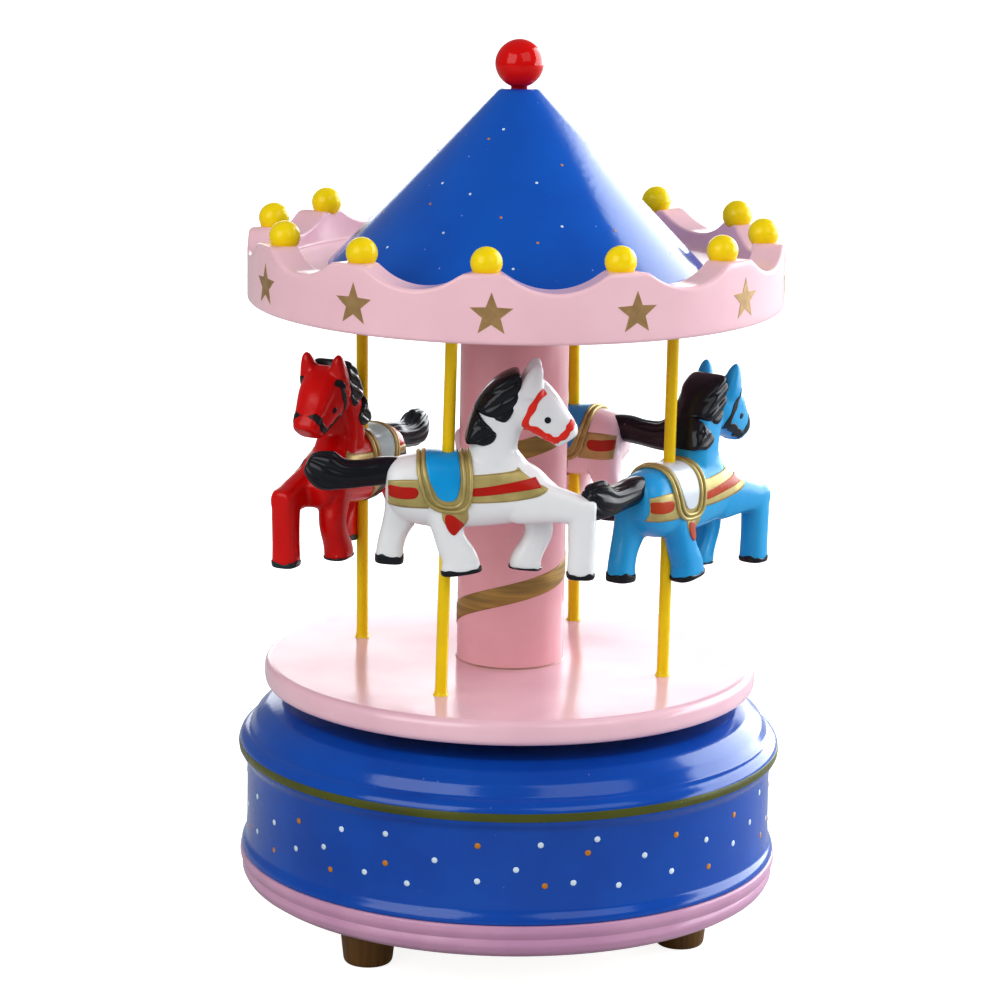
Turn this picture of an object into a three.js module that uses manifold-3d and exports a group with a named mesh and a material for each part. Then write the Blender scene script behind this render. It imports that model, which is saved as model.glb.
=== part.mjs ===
// Carousel music box: a turned wooden base with the movement inside, a turning
// deck, a centre column, a scalloped crown with a cone roof, and four horses on
// poles. Millimetres, +Z up, origin on the table under the middle of the base.
// Angles around the axis are in degrees from the front (-Y), towards +X.
import * as THREE from "three";
import { mergeVertices } from "three/addons/utils/BufferGeometryUtils.js";
import Module from "manifold-3d";

const wasm = await Module();
wasm.setup();

// ---- driving dimensions ----
const GAP = 0.3; // clearance between pieces that are cut to fit each other
const BASE_R = 55; // widest radius, at the gold stripe
const FOOT_H = 10.2; // height of the feet, and underside of the base
const RING_TOP = 17.8; // joint between the foot ring and the housing
const HOUSING_TOP = 48.5;
const CAVITY_R = 44;
const CAVITY_TOP = 42;
const HOUSING_BORE_R = 3.4; // round the winding arbor
const DECK_BOTTOM = 52;
const DECK_TOP = 57;
const DECK_R = 49.8;
const COLUMN_R = 10.85;
const CROWN_BOTTOM = 130.5;
const CROWN_FLOOR = 137.4; // floor of the recess that holds the roof
const CROWN_PEAK = 143.7; // top of the ring under each ball
const CROWN_VALLEY = 140.2; // top of the ring between the balls
const CROWN_R = 53.4;
const CROWN_RECESS_R = 47;
const ROOF_R = 37.6;
const ROOF_TOP = 172.6;
const ROOF_TIP_R = 3.8;
const FINIAL_R = 4.8;
const SPIGOT_R = 5; // turned ends of the column
const SPIGOT_L = 3.5;
const BALLS = 12;
const BALL_R = 3.05;
const BALL_RING_R = 48.9;
const BALL_Z = 145.3;
const BALL_ANGLE = -6.5; // angle of the ball nearest the front
const SCALLOP_R = 15.2;
const POLE_R = 1.18;
const POLE_RING_R = 33.4;
const POLE_ANGLE = -23.6; // angle of the front pole at the deck
const POLE_TWIST = 2.4; // the crown is glued on this much further round
const POLE_SINK = 3.5;
const HORSE_MID = 43; // height above the deck where a horse's frame sits on its pole
const FOOT_RING_R = 37.2;
const FOOT_ANGLE = -47.5;

// Movement: arbor on the main axis, cylinder along +X, governor beyond it.
const PLATE_BOTTOM = 39.4; // underside of the bedplate
const ARBOR_R = 2;
const DRIVE_TEETH = 36;
const CYL_PINION_TEETH = 12;
const DRIVE_PITCH_R = 11.6;
const CYL_PINION_R = (DRIVE_PITCH_R * CYL_PINION_TEETH) / DRIVE_TEETH;
const DRIVE_DISC_BOTTOM = 35.8;
const DRIVE_PITCH_Z = 34.7;
const CYL_Z = DRIVE_PITCH_Z - CYL_PINION_R; // height of the cylinder's axis
const DRUM_R = 5.5;
const PIN_TIP_R = 6.3;
const DRUM_X0 = 14.4;
const DRUM_L = 14.6;
const MODULE = 0.5; // of the gear pair to the governor
const END_TEETH = 30;
const GOV_PINION_TEETH = 10;
const GOV_DY = 9.2;
const GOV_DIST = (MODULE * (END_TEETH + GOV_PINION_TEETH)) / 2;
const GOV_Z = CYL_Z - Math.sqrt(GOV_DIST ** 2 - GOV_DY ** 2);
const WHEEL_TEETH = 16;
const WHEEL_R = 4.8;
const WHEEL_X = 33.05; // middle of the worm wheel, and x of the worm's axis
const WORM_R = 1.6;
const WORM_Y = GOV_DY + WHEEL_R + WORM_R;
const AXLE_R = 0.8;
const AXLE_BORE_R = AXLE_R + 0.1;
const PIVOT_BORE_R = 0.9; // of the worm shaft's two ends
const BEDPLATE_SCREWS = [
  [-15, 15],
  [-15, -15],
  [22, 19.5],
];
const SCREW_TOP = 46; // end of a bedplate screw inside the housing
const SCREW_HEAD_R = 2.6;
const SCREW_HEAD_H = 1.5;
const SCREW_SHANK_R = 1.25;
const SCREW_BORE_R = SCREW_SHANK_R + GAP;
const SMALL_HEAD_R = 1.8;
const SMALL_SHANK_R = 0.9;
const SMALL_BORE_R = SMALL_SHANK_R + GAP;
const COMB_SCREWS = [18.5, 25];
const COMB_SCREW_Y = -19.6;
const COMB_Z = CYL_Z - 0.5; // underside of the comb
const COMB_THICK = 1;
const PINION_X0 = 10.2;
const PINION_X1 = 12.6;
const END_GEAR_X = DRUM_X0 + DRUM_L + 0.5;
const END_GEAR_W = 1.6;
const END_POST_X = 34.8;
const WORM_FOOT_Z = 18; // top of the bracket that the worm shaft stands on
const HUB_SCREW_R = 7.2;
const HUB_BOTTOM = 49.8;

// ---- solids ----
function solid(geometry) {
  const g = geometry.clone();
  g.deleteAttribute("normal");
  g.deleteAttribute("uv");
  const merged = mergeVertices(g, 1e-4);
  return new wasm.Manifold(
    new wasm.Mesh({
      numProp: 3,
      vertProperties: new Float32Array(merged.attributes.position.array),
      triVerts: new Uint32Array(merged.index.array),
    }),
  );
}

function geometryOf(manifold) {
  const mesh = manifold.getMesh();
  const g = new THREE.BufferGeometry();
  g.setAttribute("position", new THREE.BufferAttribute(mesh.vertProperties, 3));
  g.setIndex(new THREE.BufferAttribute(mesh.triVerts, 1));
  const flat = g.toNonIndexed();
  flat.computeVertexNormals();
  return flat;
}

const join = (pieces) => pieces.reduce((all, piece) => all.add(piece));

// Turned piece: [radius, z] points counter-clockwise in the r-z half plane.
function turned(points, segments = 44) {
  const g = new THREE.LatheGeometry(
    points.map(([r, z]) => new THREE.Vector2(r, z)),
    segments,
  );
  g.rotateX(Math.PI / 2);
  return g;
}

function closed(points) {
  return [...points, points[0]];
}

// Upright cylinder from z0 to z1.
function rod(r, z0, z1, x = 0, y = 0, segments = 12) {
  const g = new THREE.CylinderGeometry(r, r, z1 - z0, segments);
  g.rotateX(Math.PI / 2);
  g.translate(x, y, (z0 + z1) / 2);
  return g;
}

// Cylinder along +X from x0 to x1.
function rodX(r, x0, x1, y, z, segments = 12) {
  const g = new THREE.CylinderGeometry(r, r, x1 - x0, segments);
  g.rotateZ(-Math.PI / 2);
  g.translate((x0 + x1) / 2, y, z);
  return g;
}

function box(x0, x1, y0, y1, z0, z1) {
  const g = new THREE.BoxGeometry(x1 - x0, y1 - y0, z1 - z0);
  g.translate((x0 + x1) / 2, (y0 + y1) / 2, (z0 + z1) / 2);
  return g;
}

function ringPoint(radius, degrees, z = 0) {
  const a = THREE.MathUtils.degToRad(degrees);
  return new THREE.Vector3(radius * Math.sin(a), -radius * Math.cos(a), z);
}

// Gear blank in the XY plane, a tooth centred on +X, with straight-sided teeth.
function gearShape(teeth, rootR, tipR, rootW, tipW, boreR) {
  const shape = new THREE.Shape();
  for (let i = 0; i < teeth; i++) {
    const a = (2 * Math.PI * i) / teeth;
    const corners = [
      [rootR, -rootW / 2],
      [tipR, -tipW / 2],
      [tipR, tipW / 2],
      [rootR, rootW / 2],
    ];
    for (const [r, w] of corners) {
      const x = r * Math.cos(a) - w * Math.sin(a);
      const y = r * Math.sin(a) + w * Math.cos(a);
      if (i === 0 && r === rootR && w < 0) shape.moveTo(x, y);
      else shape.lineTo(x, y);
    }
  }
  if (boreR) {
    const hole = new THREE.Path();
    hole.absarc(0, 0, boreR, 0, 2 * Math.PI, true);
    shape.holes.push(hole);
  }
  return shape;
}

// Lays an extruded gear along +X: its +X tooth points up, then it is turned by phase.
function alongX(geometry, x, y, z, phase) {
  geometry.rotateZ(phase);
  geometry.rotateY(Math.PI / 2);
  geometry.rotateX(Math.PI);
  geometry.translate(x, y, z);
  return geometry;
}

// ---- materials ----
const paint = (color, roughness = 0.25) =>
  new THREE.MeshStandardMaterial({ color, roughness, metalness: 0 });
const metal = (color, roughness = 0.35) =>
  new THREE.MeshStandardMaterial({ color, roughness, metalness: 1 });
const BLUE = 0x0b52b4;
const PINK = 0xeec3ce;
const YELLOW = 0xe8c400;
const BRASS = 0xc9a04e;
const STEEL = 0xb4b6ba;

const root = new THREE.Group();
root.name = "carousel_music_box";

function add(name, piece, material) {
  const geometry = piece.isBufferGeometry ? geometryOf(solid(piece)) : geometryOf(piece);
  const mesh = new THREE.Mesh(geometry, material);
  mesh.name = name;
  root.add(mesh);
  return mesh;
}

// ---- base ----
function baseHousing() {
  const outline = closed([
    [CAVITY_R, RING_TOP],
    [54.6, RING_TOP],
    [54.3, 19.3],
    [53.6, 20.2],
    [53.35, 24],
    [53.3, 34],
    [53.5, 36.6],
    [54.7, 38.2],
    [BASE_R, 39.6],
    [54.7, 41.2],
    [53.6, 42.3],
    [52.6, 42.7],
    [51.6, 45],
    [49.2, 47.2],
    [46.4, HOUSING_TOP],
    [HOUSING_BORE_R, HOUSING_TOP],
    [HOUSING_BORE_R, CAVITY_TOP],
    [CAVITY_R, CAVITY_TOP],
  ]);
  let body = solid(turned(outline));
  for (const [x, y] of BEDPLATE_SCREWS)
    body = body.subtract(solid(rod(SCREW_BORE_R, CAVITY_TOP - 1, SCREW_TOP + GAP, x, y)));
  return body;
}
add("base_housing", baseHousing(), paint(BLUE));
add(
  "base_ring",
  turned(
    closed([
      [CAVITY_R, FOOT_H],
      [49.2, FOOT_H],
      [51.6, 10.7],
      [53.6, 12],
      [54.4, 13.6],
      [54, 14.9],
      [54.8, 16.4],
      [54.6, RING_TOP],
      [CAVITY_R, RING_TOP],
    ]),
  ),
  paint(PINK),
);
add("bottom_plate", rod(CAVITY_R - GAP, FOOT_H, 13.2, 0, 0, 44), paint(PINK, 0.5));
for (let i = 0; i < 3; i++) {
  const foot = turned([
    [0, 0],
    [4.4, 0],
    [4.9, 0.6],
    [5.8, 8.6],
    [5.2, FOOT_H],
    [0, FOOT_H],
  ], 20);
  const p = ringPoint(FOOT_RING_R, FOOT_ANGLE + 120 * i);
  foot.translate(p.x, p.y, 0);
  add(`foot_${i + 1}`, foot, paint(0x59401a, 0.4));
}

// ---- movement: plate, brackets, spring and comb ----
function bedplate() {
  let plate = solid(box(-20, 36.6, -23, 23, PLATE_BOTTOM, CAVITY_TOP));
  plate = plate.subtract(solid(rod(ARBOR_R + GAP, 38, 43)));
  for (const [x, y] of BEDPLATE_SCREWS)
    plate = plate.subtract(solid(rod(SCREW_BORE_R, 38, 43, x, y)));
  return plate.subtract(solid(rod(PIVOT_BORE_R, 38, 40.8, WHEEL_X, WORM_Y)));
}
add("movement_bedplate", bedplate(), metal(STEEL));
BEDPLATE_SCREWS.forEach(([x, y], i) => {
  const head = solid(rod(SCREW_HEAD_R, PLATE_BOTTOM - SCREW_HEAD_H, PLATE_BOTTOM, x, y));
  const shank = solid(rod(SCREW_SHANK_R, PLATE_BOTTOM - 0.5, SCREW_TOP, x, y));
  const slot = solid(box(x - 3, x + 3, y - 0.35, y + 0.35, 37, PLATE_BOTTOM - 0.9));
  add(`bedplate_screw_${i + 1}`, head.add(shank).subtract(slot), metal(STEEL));
});

function springHousing() {
  const outline = [
    [0, 18],
    [9.8, 18],
    [9.8, 33.2],
    [8.7, 33.2],
    [8.7, 19.2],
    [0, 19.2],
  ];
  const cup = solid(turned(outline, 24));
  const arm = solid(box(-19, -9.3, -5, 5, 24, 27));
  const post = solid(box(-19, -16.4, -5, 5, 24, PLATE_BOTTOM));
  return cup.add(arm).add(post);
}
add("spring_housing", springHousing(), metal(STEEL));

function mainspring() {
  const turns = 3.5;
  const steps = 56;
  const thick = 0.45;
  const edge = (offset) =>
    Array.from({ length: steps + 1 }, (_, i) => {
      const t = i / steps;
      const r = 2.7 + 5.3 * t + offset;
      const a = 2 * Math.PI * turns * t;
      return new THREE.Vector2(r * Math.cos(a), r * Math.sin(a));
    });
  const shape = new THREE.Shape([...edge(0), ...edge(thick).reverse()]);
  const g = new THREE.ExtrudeGeometry(shape, { depth: 10.5, bevelEnabled: false });
  g.translate(0, 0, 20.8);
  return g;
}
add("mainspring", mainspring(), metal(0x5d6470));

function comb() {
  const teeth = 18;
  const pitch = DRUM_L / teeth;
  const tipY = -(PIN_TIP_R + 0.15);
  const shape = new THREE.Shape();
  shape.moveTo(DRUM_X0 - 0.5, -22);
  shape.lineTo(DRUM_X0 + DRUM_L + 0.5, -22);
  shape.lineTo(DRUM_X0 + DRUM_L + 0.5, -16.2);
  for (let i = teeth - 1; i >= 0; i--) {
    const mid = DRUM_X0 + pitch * (i + 0.5);
    const rootY = -13.6 - (2.2 * i) / teeth;
    shape.lineTo(mid + 0.28, rootY);
    shape.lineTo(mid + 0.22, tipY);
    shape.lineTo(mid - 0.22, tipY);
    shape.lineTo(mid - 0.28, rootY);
  }
  shape.lineTo(DRUM_X0 - 0.5, -13.6);
  const g = new THREE.ExtrudeGeometry(shape, { depth: COMB_THICK, bevelEnabled: false });
  g.translate(0, 0, COMB_Z);
  let plate = solid(g);
  for (const x of COMB_SCREWS)
    plate = plate.subtract(solid(rod(SMALL_BORE_R, COMB_Z - 1, COMB_Z + 2, x, COMB_SCREW_Y)));
  return plate;
}
add("comb", comb(), metal(STEEL));

function combBridge() {
  let block = solid(
    box(DRUM_X0 - 0.8, DRUM_X0 + DRUM_L + 0.8, -22.4, -16.8, COMB_Z + COMB_THICK, PLATE_BOTTOM),
  );
  for (const x of COMB_SCREWS)
    block = block.subtract(solid(rod(SMALL_BORE_R, COMB_Z, COMB_Z + 5.2, x, COMB_SCREW_Y)));
  return block;
}
add("comb_bridge", combBridge(), metal(BRASS));
COMB_SCREWS.forEach((x, i) => {
  const head = solid(rod(SMALL_HEAD_R, COMB_Z - 1, COMB_Z, x, COMB_SCREW_Y));
  const shank = solid(rod(SMALL_SHANK_R, COMB_Z - 0.4, COMB_Z + 4.9, x, COMB_SCREW_Y));
  const [slotY0, slotY1] = [COMB_SCREW_Y - 0.25, COMB_SCREW_Y + 0.25];
  const slot = solid(box(x - 2.5, x + 2.5, slotY0, slotY1, COMB_Z - 2, COMB_Z - 0.6));
  add(`comb_screw_${i + 1}`, head.add(shank).subtract(slot), metal(STEEL));
});

// The cylinder's first bearing stands between its pinion and the drum.
const cylinderBearing = solid(box(13.15, 13.95, -2.2, 2.2, CYL_Z - 2.2, PLATE_BOTTOM)).subtract(
  solid(rodX(AXLE_BORE_R, 12, 15, 0, CYL_Z)),
);
add("cylinder_bearing", cylinderBearing, metal(BRASS));

const endPlate = solid(box(END_POST_X, END_POST_X + 1.3, -3, 12.2, GOV_Z - 2.4, PLATE_BOTTOM))
  .subtract(solid(rodX(AXLE_BORE_R, 34, 37, 0, CYL_Z)))
  .subtract(solid(rodX(AXLE_BORE_R, 34, 37, GOV_DY, GOV_Z)));
add("end_bearing_plate", endPlate, metal(BRASS));

const wheelBearing = solid(box(27.7, 28.6, 7.4, 11.2, GOV_Z - 2, PLATE_BOTTOM)).subtract(
  solid(rodX(AXLE_BORE_R, 27, 30, GOV_DY, GOV_Z)),
);
add("wheel_bearing", wheelBearing, metal(BRASS));

const wormBracket = solid(box(31.4, 34.7, 21, 22.4, WORM_FOOT_Z - 1.2, PLATE_BOTTOM))
  .add(solid(box(31.4, 34.7, 13.8, 22.4, WORM_FOOT_Z - 1.2, WORM_FOOT_Z)))
  .subtract(solid(rod(PIVOT_BORE_R, WORM_FOOT_Z - 0.7, 19, WHEEL_X, WORM_Y)));
add("worm_bracket", wormBracket, metal(BRASS));

// ---- movement: turning parts ----
function driveGear() {
  const rim = DRIVE_PITCH_R + 0.95;
  let gear = solid(rod(rim, DRIVE_DISC_BOTTOM, 38.4, 0, 0, 36));
  const tooth = new THREE.Shape([
    new THREE.Vector2(-0.52, 0.3),
    new THREE.Vector2(-0.52, 0),
    new THREE.Vector2(-0.24, -1.85),
    new THREE.Vector2(0.24, -1.85),
    new THREE.Vector2(0.52, 0),
    new THREE.Vector2(0.52, 0.3),
  ]);
  for (let i = 0; i < DRIVE_TEETH; i++) {
    const g = new THREE.ExtrudeGeometry(tooth, { depth: 2, bevelEnabled: false });
    g.rotateX(Math.PI / 2);
    g.translate(0, -(rim - 2.05), DRIVE_DISC_BOTTOM);
    g.rotateZ(((i + 0.5) * 2 * Math.PI) / DRIVE_TEETH + Math.PI / 2);
    gear = gear.add(solid(g));
  }
  return gear.subtract(solid(rod(ARBOR_R + GAP, 30, 40)));
}
add("drive_gear", driveGear(), metal(BRASS));
add("winding_arbor", rod(ARBOR_R, 19.6, 53.2), metal(STEEL));

function pinCylinder() {
  let drum = solid(rodX(DRUM_R, DRUM_X0, DRUM_X0 + DRUM_L, 0, CYL_Z, 20));
  drum = drum.add(solid(rodX(AXLE_R, PINION_X0, END_POST_X + 2, 0, CYL_Z, 12)));
  const rows = 18;
  for (let i = 0; i < rows; i++) {
    for (let k = 0; k < 2; k++) {
      const a = (2 * Math.PI * ((i * 7 + k * 11) % 25)) / 25 + 0.05 * i;
      const pin = new THREE.CylinderGeometry(0.16, 0.2, PIN_TIP_R - DRUM_R + 0.4, 4);
      pin.translate(0, (PIN_TIP_R + DRUM_R - 0.4) / 2, 0);
      pin.rotateX(a);
      pin.translate(DRUM_X0 + (DRUM_L / rows) * (i + 0.5), 0, CYL_Z);
      drum = drum.add(solid(pin));
    }
  }
  return drum;
}
add("pin_cylinder", pinCylinder(), metal(BRASS));

function cylinderPinion() {
  const [rootR, tipR] = [CYL_PINION_R - 1.05, CYL_PINION_R + 0.7];
  const shape = gearShape(CYL_PINION_TEETH, rootR, tipR, 0.8, 0.34, AXLE_R + GAP);
  const depth = PINION_X1 - PINION_X0;
  const g = new THREE.ExtrudeGeometry(shape, { depth, bevelEnabled: false, curveSegments: 8 });
  return alongX(g, PINION_X0, 0, CYL_Z, 0);
}
add("cylinder_pinion", cylinderPinion(), metal(BRASS));

function spur(teeth, boreR, width, x, y, z, phase) {
  const r = (MODULE * teeth) / 2;
  const shape = gearShape(teeth, r - 0.62, r + 0.42, 0.78, 0.3, boreR);
  const g = new THREE.ExtrudeGeometry(shape, { depth: width, bevelEnabled: false, curveSegments: 8 });
  return alongX(g, x, y, z, phase);
}
// Direction from the cylinder's axis to the governor wheel's axis, from +Z towards +Y.
const GOV_DIRECTION = Math.atan2(GOV_DY, GOV_Z - CYL_Z);
add(
  "cylinder_gear",
  spur(END_TEETH, AXLE_R + GAP, END_GEAR_W, END_GEAR_X, 0, CYL_Z, GOV_DIRECTION),
  metal(BRASS),
);

function wheelPinion() {
  const phase = GOV_DIRECTION + Math.PI + Math.PI / GOV_PINION_TEETH;
  const teeth = spur(GOV_PINION_TEETH, 0, END_GEAR_W, END_GEAR_X, GOV_DY, GOV_Z, phase);
  return solid(teeth).add(solid(rodX(AXLE_R, 27.4, END_POST_X + 2, GOV_DY, GOV_Z, 12)));
}
add("wheel_pinion", wheelPinion(), metal(STEEL));

function wormWheel() {
  const shape = gearShape(WHEEL_TEETH, WHEEL_R - 0.75, WHEEL_R + 0.45, 0.75, 0.38, AXLE_R + GAP);
  const width = 1.1;
  const g = new THREE.ExtrudeGeometry(shape, { depth: width, bevelEnabled: false, curveSegments: 8 });
  return alongX(g, WHEEL_X - width / 2, GOV_DY, GOV_Z, Math.PI / 2);
}
add("worm_wheel", wormWheel(), metal(BRASS));

function wormShaft() {
  const pitch = (2 * Math.PI * WHEEL_R) / WHEEL_TEETH;
  let worm = solid(rod(0.6, WORM_FOOT_Z - 0.4, 40.4, 0, 0, 8));
  worm = worm.add(solid(rod(0.95, GOV_Z - 3, GOV_Z + 3, 0, 0, 10)));
  const turns = 2.5;
  class Helix extends THREE.Curve {
    getPoint(t, target = new THREE.Vector3()) {
      // the groove between two turns faces the wheel at mid height
      const a = 2 * Math.PI * turns * (t - 0.5) + Math.PI / 2;
      const z = GOV_Z + pitch * turns * (t - 0.5);
      return target.set(1.25 * Math.cos(a), 1.25 * Math.sin(a), z);
    }
  }
  const section = new THREE.Shape();
  section.absarc(0, 0, 0.45, 0, 2 * Math.PI);
  const thread = new THREE.ExtrudeGeometry(section, {
    steps: 24,
    curveSegments: 6,
    extrudePath: new Helix(),
  });
  worm = worm.add(solid(thread));
  return worm.translate([WHEEL_X, WORM_Y, 0]);
}
add("worm_shaft", wormShaft(), metal(STEEL));

function governorFan() {
  let fan = solid(rod(1.5, 19, 21.3, WHEEL_X, WORM_Y, 12));
  for (const side of [0, Math.PI]) {
    const wing = box(1, 4.4, -0.25, 0.25, 19.1, 21.2);
    wing.rotateZ(side + 0.5);
    wing.translate(WHEEL_X, WORM_Y, 0);
    fan = fan.add(solid(wing));
  }
  return fan.subtract(solid(rod(0.9, 18, 24, WHEEL_X, WORM_Y, 10)));
}
add("governor_fan", governorFan(), paint(0xe9e6da, 0.5));

// ---- turning deck, column and crown ----
function deckHub() {
  let hub = solid(rod(10, HUB_BOTTOM, DECK_BOTTOM, 0, 0, 36));
  hub = hub.subtract(solid(rod(ARBOR_R + GAP, 49, 53)));
  for (let i = 0; i < 3; i++) {
    const p = ringPoint(HUB_SCREW_R, 120 * i);
    hub = hub.subtract(solid(rod(SMALL_BORE_R, 49, 53, p.x, p.y)));
  }
  return hub;
}
add("deck_hub", deckHub(), metal(STEEL));
for (let i = 0; i < 3; i++) {
  const p = ringPoint(HUB_SCREW_R, 120 * i);
  const head = solid(rod(SMALL_HEAD_R, HUB_BOTTOM - 0.7, HUB_BOTTOM, p.x, p.y));
  const shank = solid(rod(SMALL_SHANK_R, HUB_BOTTOM - 0.4, 55, p.x, p.y));
  add(`hub_screw_${i + 1}`, head.add(shank), metal(STEEL));
}

// A pole's axis runs from the deck to the crown, which is glued on a little further round.
function poleLine(i, from, to) {
  const foot = ringPoint(POLE_RING_R, POLE_ANGLE + 90 * i, DECK_TOP);
  const head = ringPoint(POLE_RING_R, POLE_ANGLE + POLE_TWIST + 90 * i, CROWN_BOTTOM);
  const up = head.clone().sub(foot);
  const at = (z) => foot.clone().addScaledVector(up, (z - DECK_TOP) / (CROWN_BOTTOM - DECK_TOP));
  return [at(from), at(to)];
}

function poleRod(i, radius, from, to, segments = 14) {
  const [a, b] = poleLine(i, from, to);
  const g = new THREE.CylinderGeometry(radius, radius, a.distanceTo(b), segments);
  g.applyQuaternion(
    new THREE.Quaternion().setFromUnitVectors(
      new THREE.Vector3(0, 1, 0),
      b.clone().sub(a).normalize(),
    ),
  );
  const mid = a.clone().add(b).multiplyScalar(0.5);
  g.translate(mid.x, mid.y, mid.z);
  return g;
}

function deck() {
  let disc = solid(
    turned([
      [0, DECK_BOTTOM],
      [48.6, DECK_BOTTOM],
      [49.5, 52.5],
      [DECK_R, 53.4],
      [DECK_R, 55.6],
      [49.5, 56.5],
      [48.6, DECK_TOP],
      [0, DECK_TOP],
    ]),
  );
  disc = disc.subtract(solid(rod(SPIGOT_R + GAP, DECK_TOP - SPIGOT_L - GAP, 58, 0, 0, 32)));
  disc = disc.subtract(solid(rod(ARBOR_R + GAP, 51, DECK_TOP - SPIGOT_L)));
  for (let i = 0; i < 3; i++) {
    const p = ringPoint(HUB_SCREW_R, 120 * i);
    disc = disc.subtract(solid(rod(SMALL_BORE_R, 51, 55.3, p.x, p.y)));
  }
  for (let i = 0; i < 4; i++)
    disc = disc.subtract(solid(poleRod(i, POLE_R + GAP, DECK_TOP - POLE_SINK - GAP, 59)));
  return disc;
}
add("deck", deck(), paint(PINK));

add(
  "column",
  turned(
    [
      [0, DECK_TOP - SPIGOT_L],
      [SPIGOT_R, DECK_TOP - SPIGOT_L],
      [SPIGOT_R, DECK_TOP],
      [COLUMN_R, DECK_TOP],
      [COLUMN_R, CROWN_BOTTOM],
      [SPIGOT_R, CROWN_BOTTOM],
      [SPIGOT_R, CROWN_BOTTOM + SPIGOT_L],
      [0, CROWN_BOTTOM + SPIGOT_L],
    ],
    36,
  ),
  paint(PINK),
);

function crownBall(radius, i) {
  const g = new THREE.SphereGeometry(radius, 8, 6);
  g.rotateX(Math.PI / 2);
  const p = ringPoint(BALL_RING_R, BALL_ANGLE + (360 / BALLS) * i, BALL_Z);
  g.translate(p.x, p.y, p.z);
  return g;
}

function crown() {
  let disc = solid(
    turned(
      [
        [0, CROWN_BOTTOM],
        [52.6, CROWN_BOTTOM],
        [CROWN_R, 131.3],
        [CROWN_R, CROWN_PEAK - 0.7],
        [52.7, CROWN_PEAK],
        [CROWN_RECESS_R, CROWN_PEAK],
        [CROWN_RECESS_R, CROWN_FLOOR],
        [0, CROWN_FLOOR],
      ],
      48,
    ),
  );
  for (let i = 0; i < BALLS; i++) {
    const scallop = new THREE.CylinderGeometry(SCALLOP_R, SCALLOP_R, 16, 32);
    scallop.translate(0, -50, 0);
    scallop.rotateZ(THREE.MathUtils.degToRad(BALL_ANGLE + (360 / BALLS) * (i + 0.5)));
    scallop.translate(0, 0, CROWN_VALLEY + SCALLOP_R);
    disc = disc.subtract(solid(scallop));
    disc = disc.subtract(solid(crownBall(BALL_R + 0.12, i)));
  }
  disc = disc.subtract(
    solid(rod(SPIGOT_R + GAP, CROWN_BOTTOM - 1, CROWN_BOTTOM + SPIGOT_L + GAP, 0, 0, 32)),
  );
  for (let i = 0; i < 4; i++)
    disc = disc.subtract(
      solid(poleRod(i, POLE_R + GAP, CROWN_BOTTOM - 2, CROWN_BOTTOM + POLE_SINK + GAP)),
    );
  return disc;
}
add("crown", crown(), paint(PINK));
for (let i = 0; i < BALLS; i++) add(`crown_ball_${i + 1}`, crownBall(BALL_R, i), paint(YELLOW));

add(
  "roof_cone",
  turned([[0, CROWN_FLOOR], [ROOF_R, CROWN_FLOOR], [ROOF_TIP_R, ROOF_TOP], [0, ROOF_TOP]], 56),
  paint(BLUE),
);
const finial = new THREE.SphereGeometry(FINIAL_R, 16, 9);
finial.rotateX(Math.PI / 2);
finial.translate(0, 0, ROOF_TOP + FINIAL_R + 0.1);
add("finial_ball", finial, paint(0xc71410));

for (let i = 0; i < 4; i++)
  add(
    `pole_${i + 1}`,
    poleRod(i, POLE_R, DECK_TOP - POLE_SINK, CROWN_BOTTOM + POLE_SINK),
    paint(YELLOW),
  );

// ---- horses ----
// A horse's own frame: x forward, y to its left, z above the deck, origin on its pole.
function slab(points, width, y, bevel = 1.2) {
  const shape = new THREE.Shape(points.map(([x, z]) => new THREE.Vector2(x, z)));
  const g = new THREE.ExtrudeGeometry(shape, {
    depth: width - 2 * bevel,
    bevelEnabled: true,
    bevelThickness: bevel,
    bevelSize: bevel,
    bevelOffset: -bevel,
    bevelSegments: 1,
  });
  g.rotateX(Math.PI / 2);
  g.translate(0, y + (width - 2 * bevel) / 2, 0);
  return solid(g);
}

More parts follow.
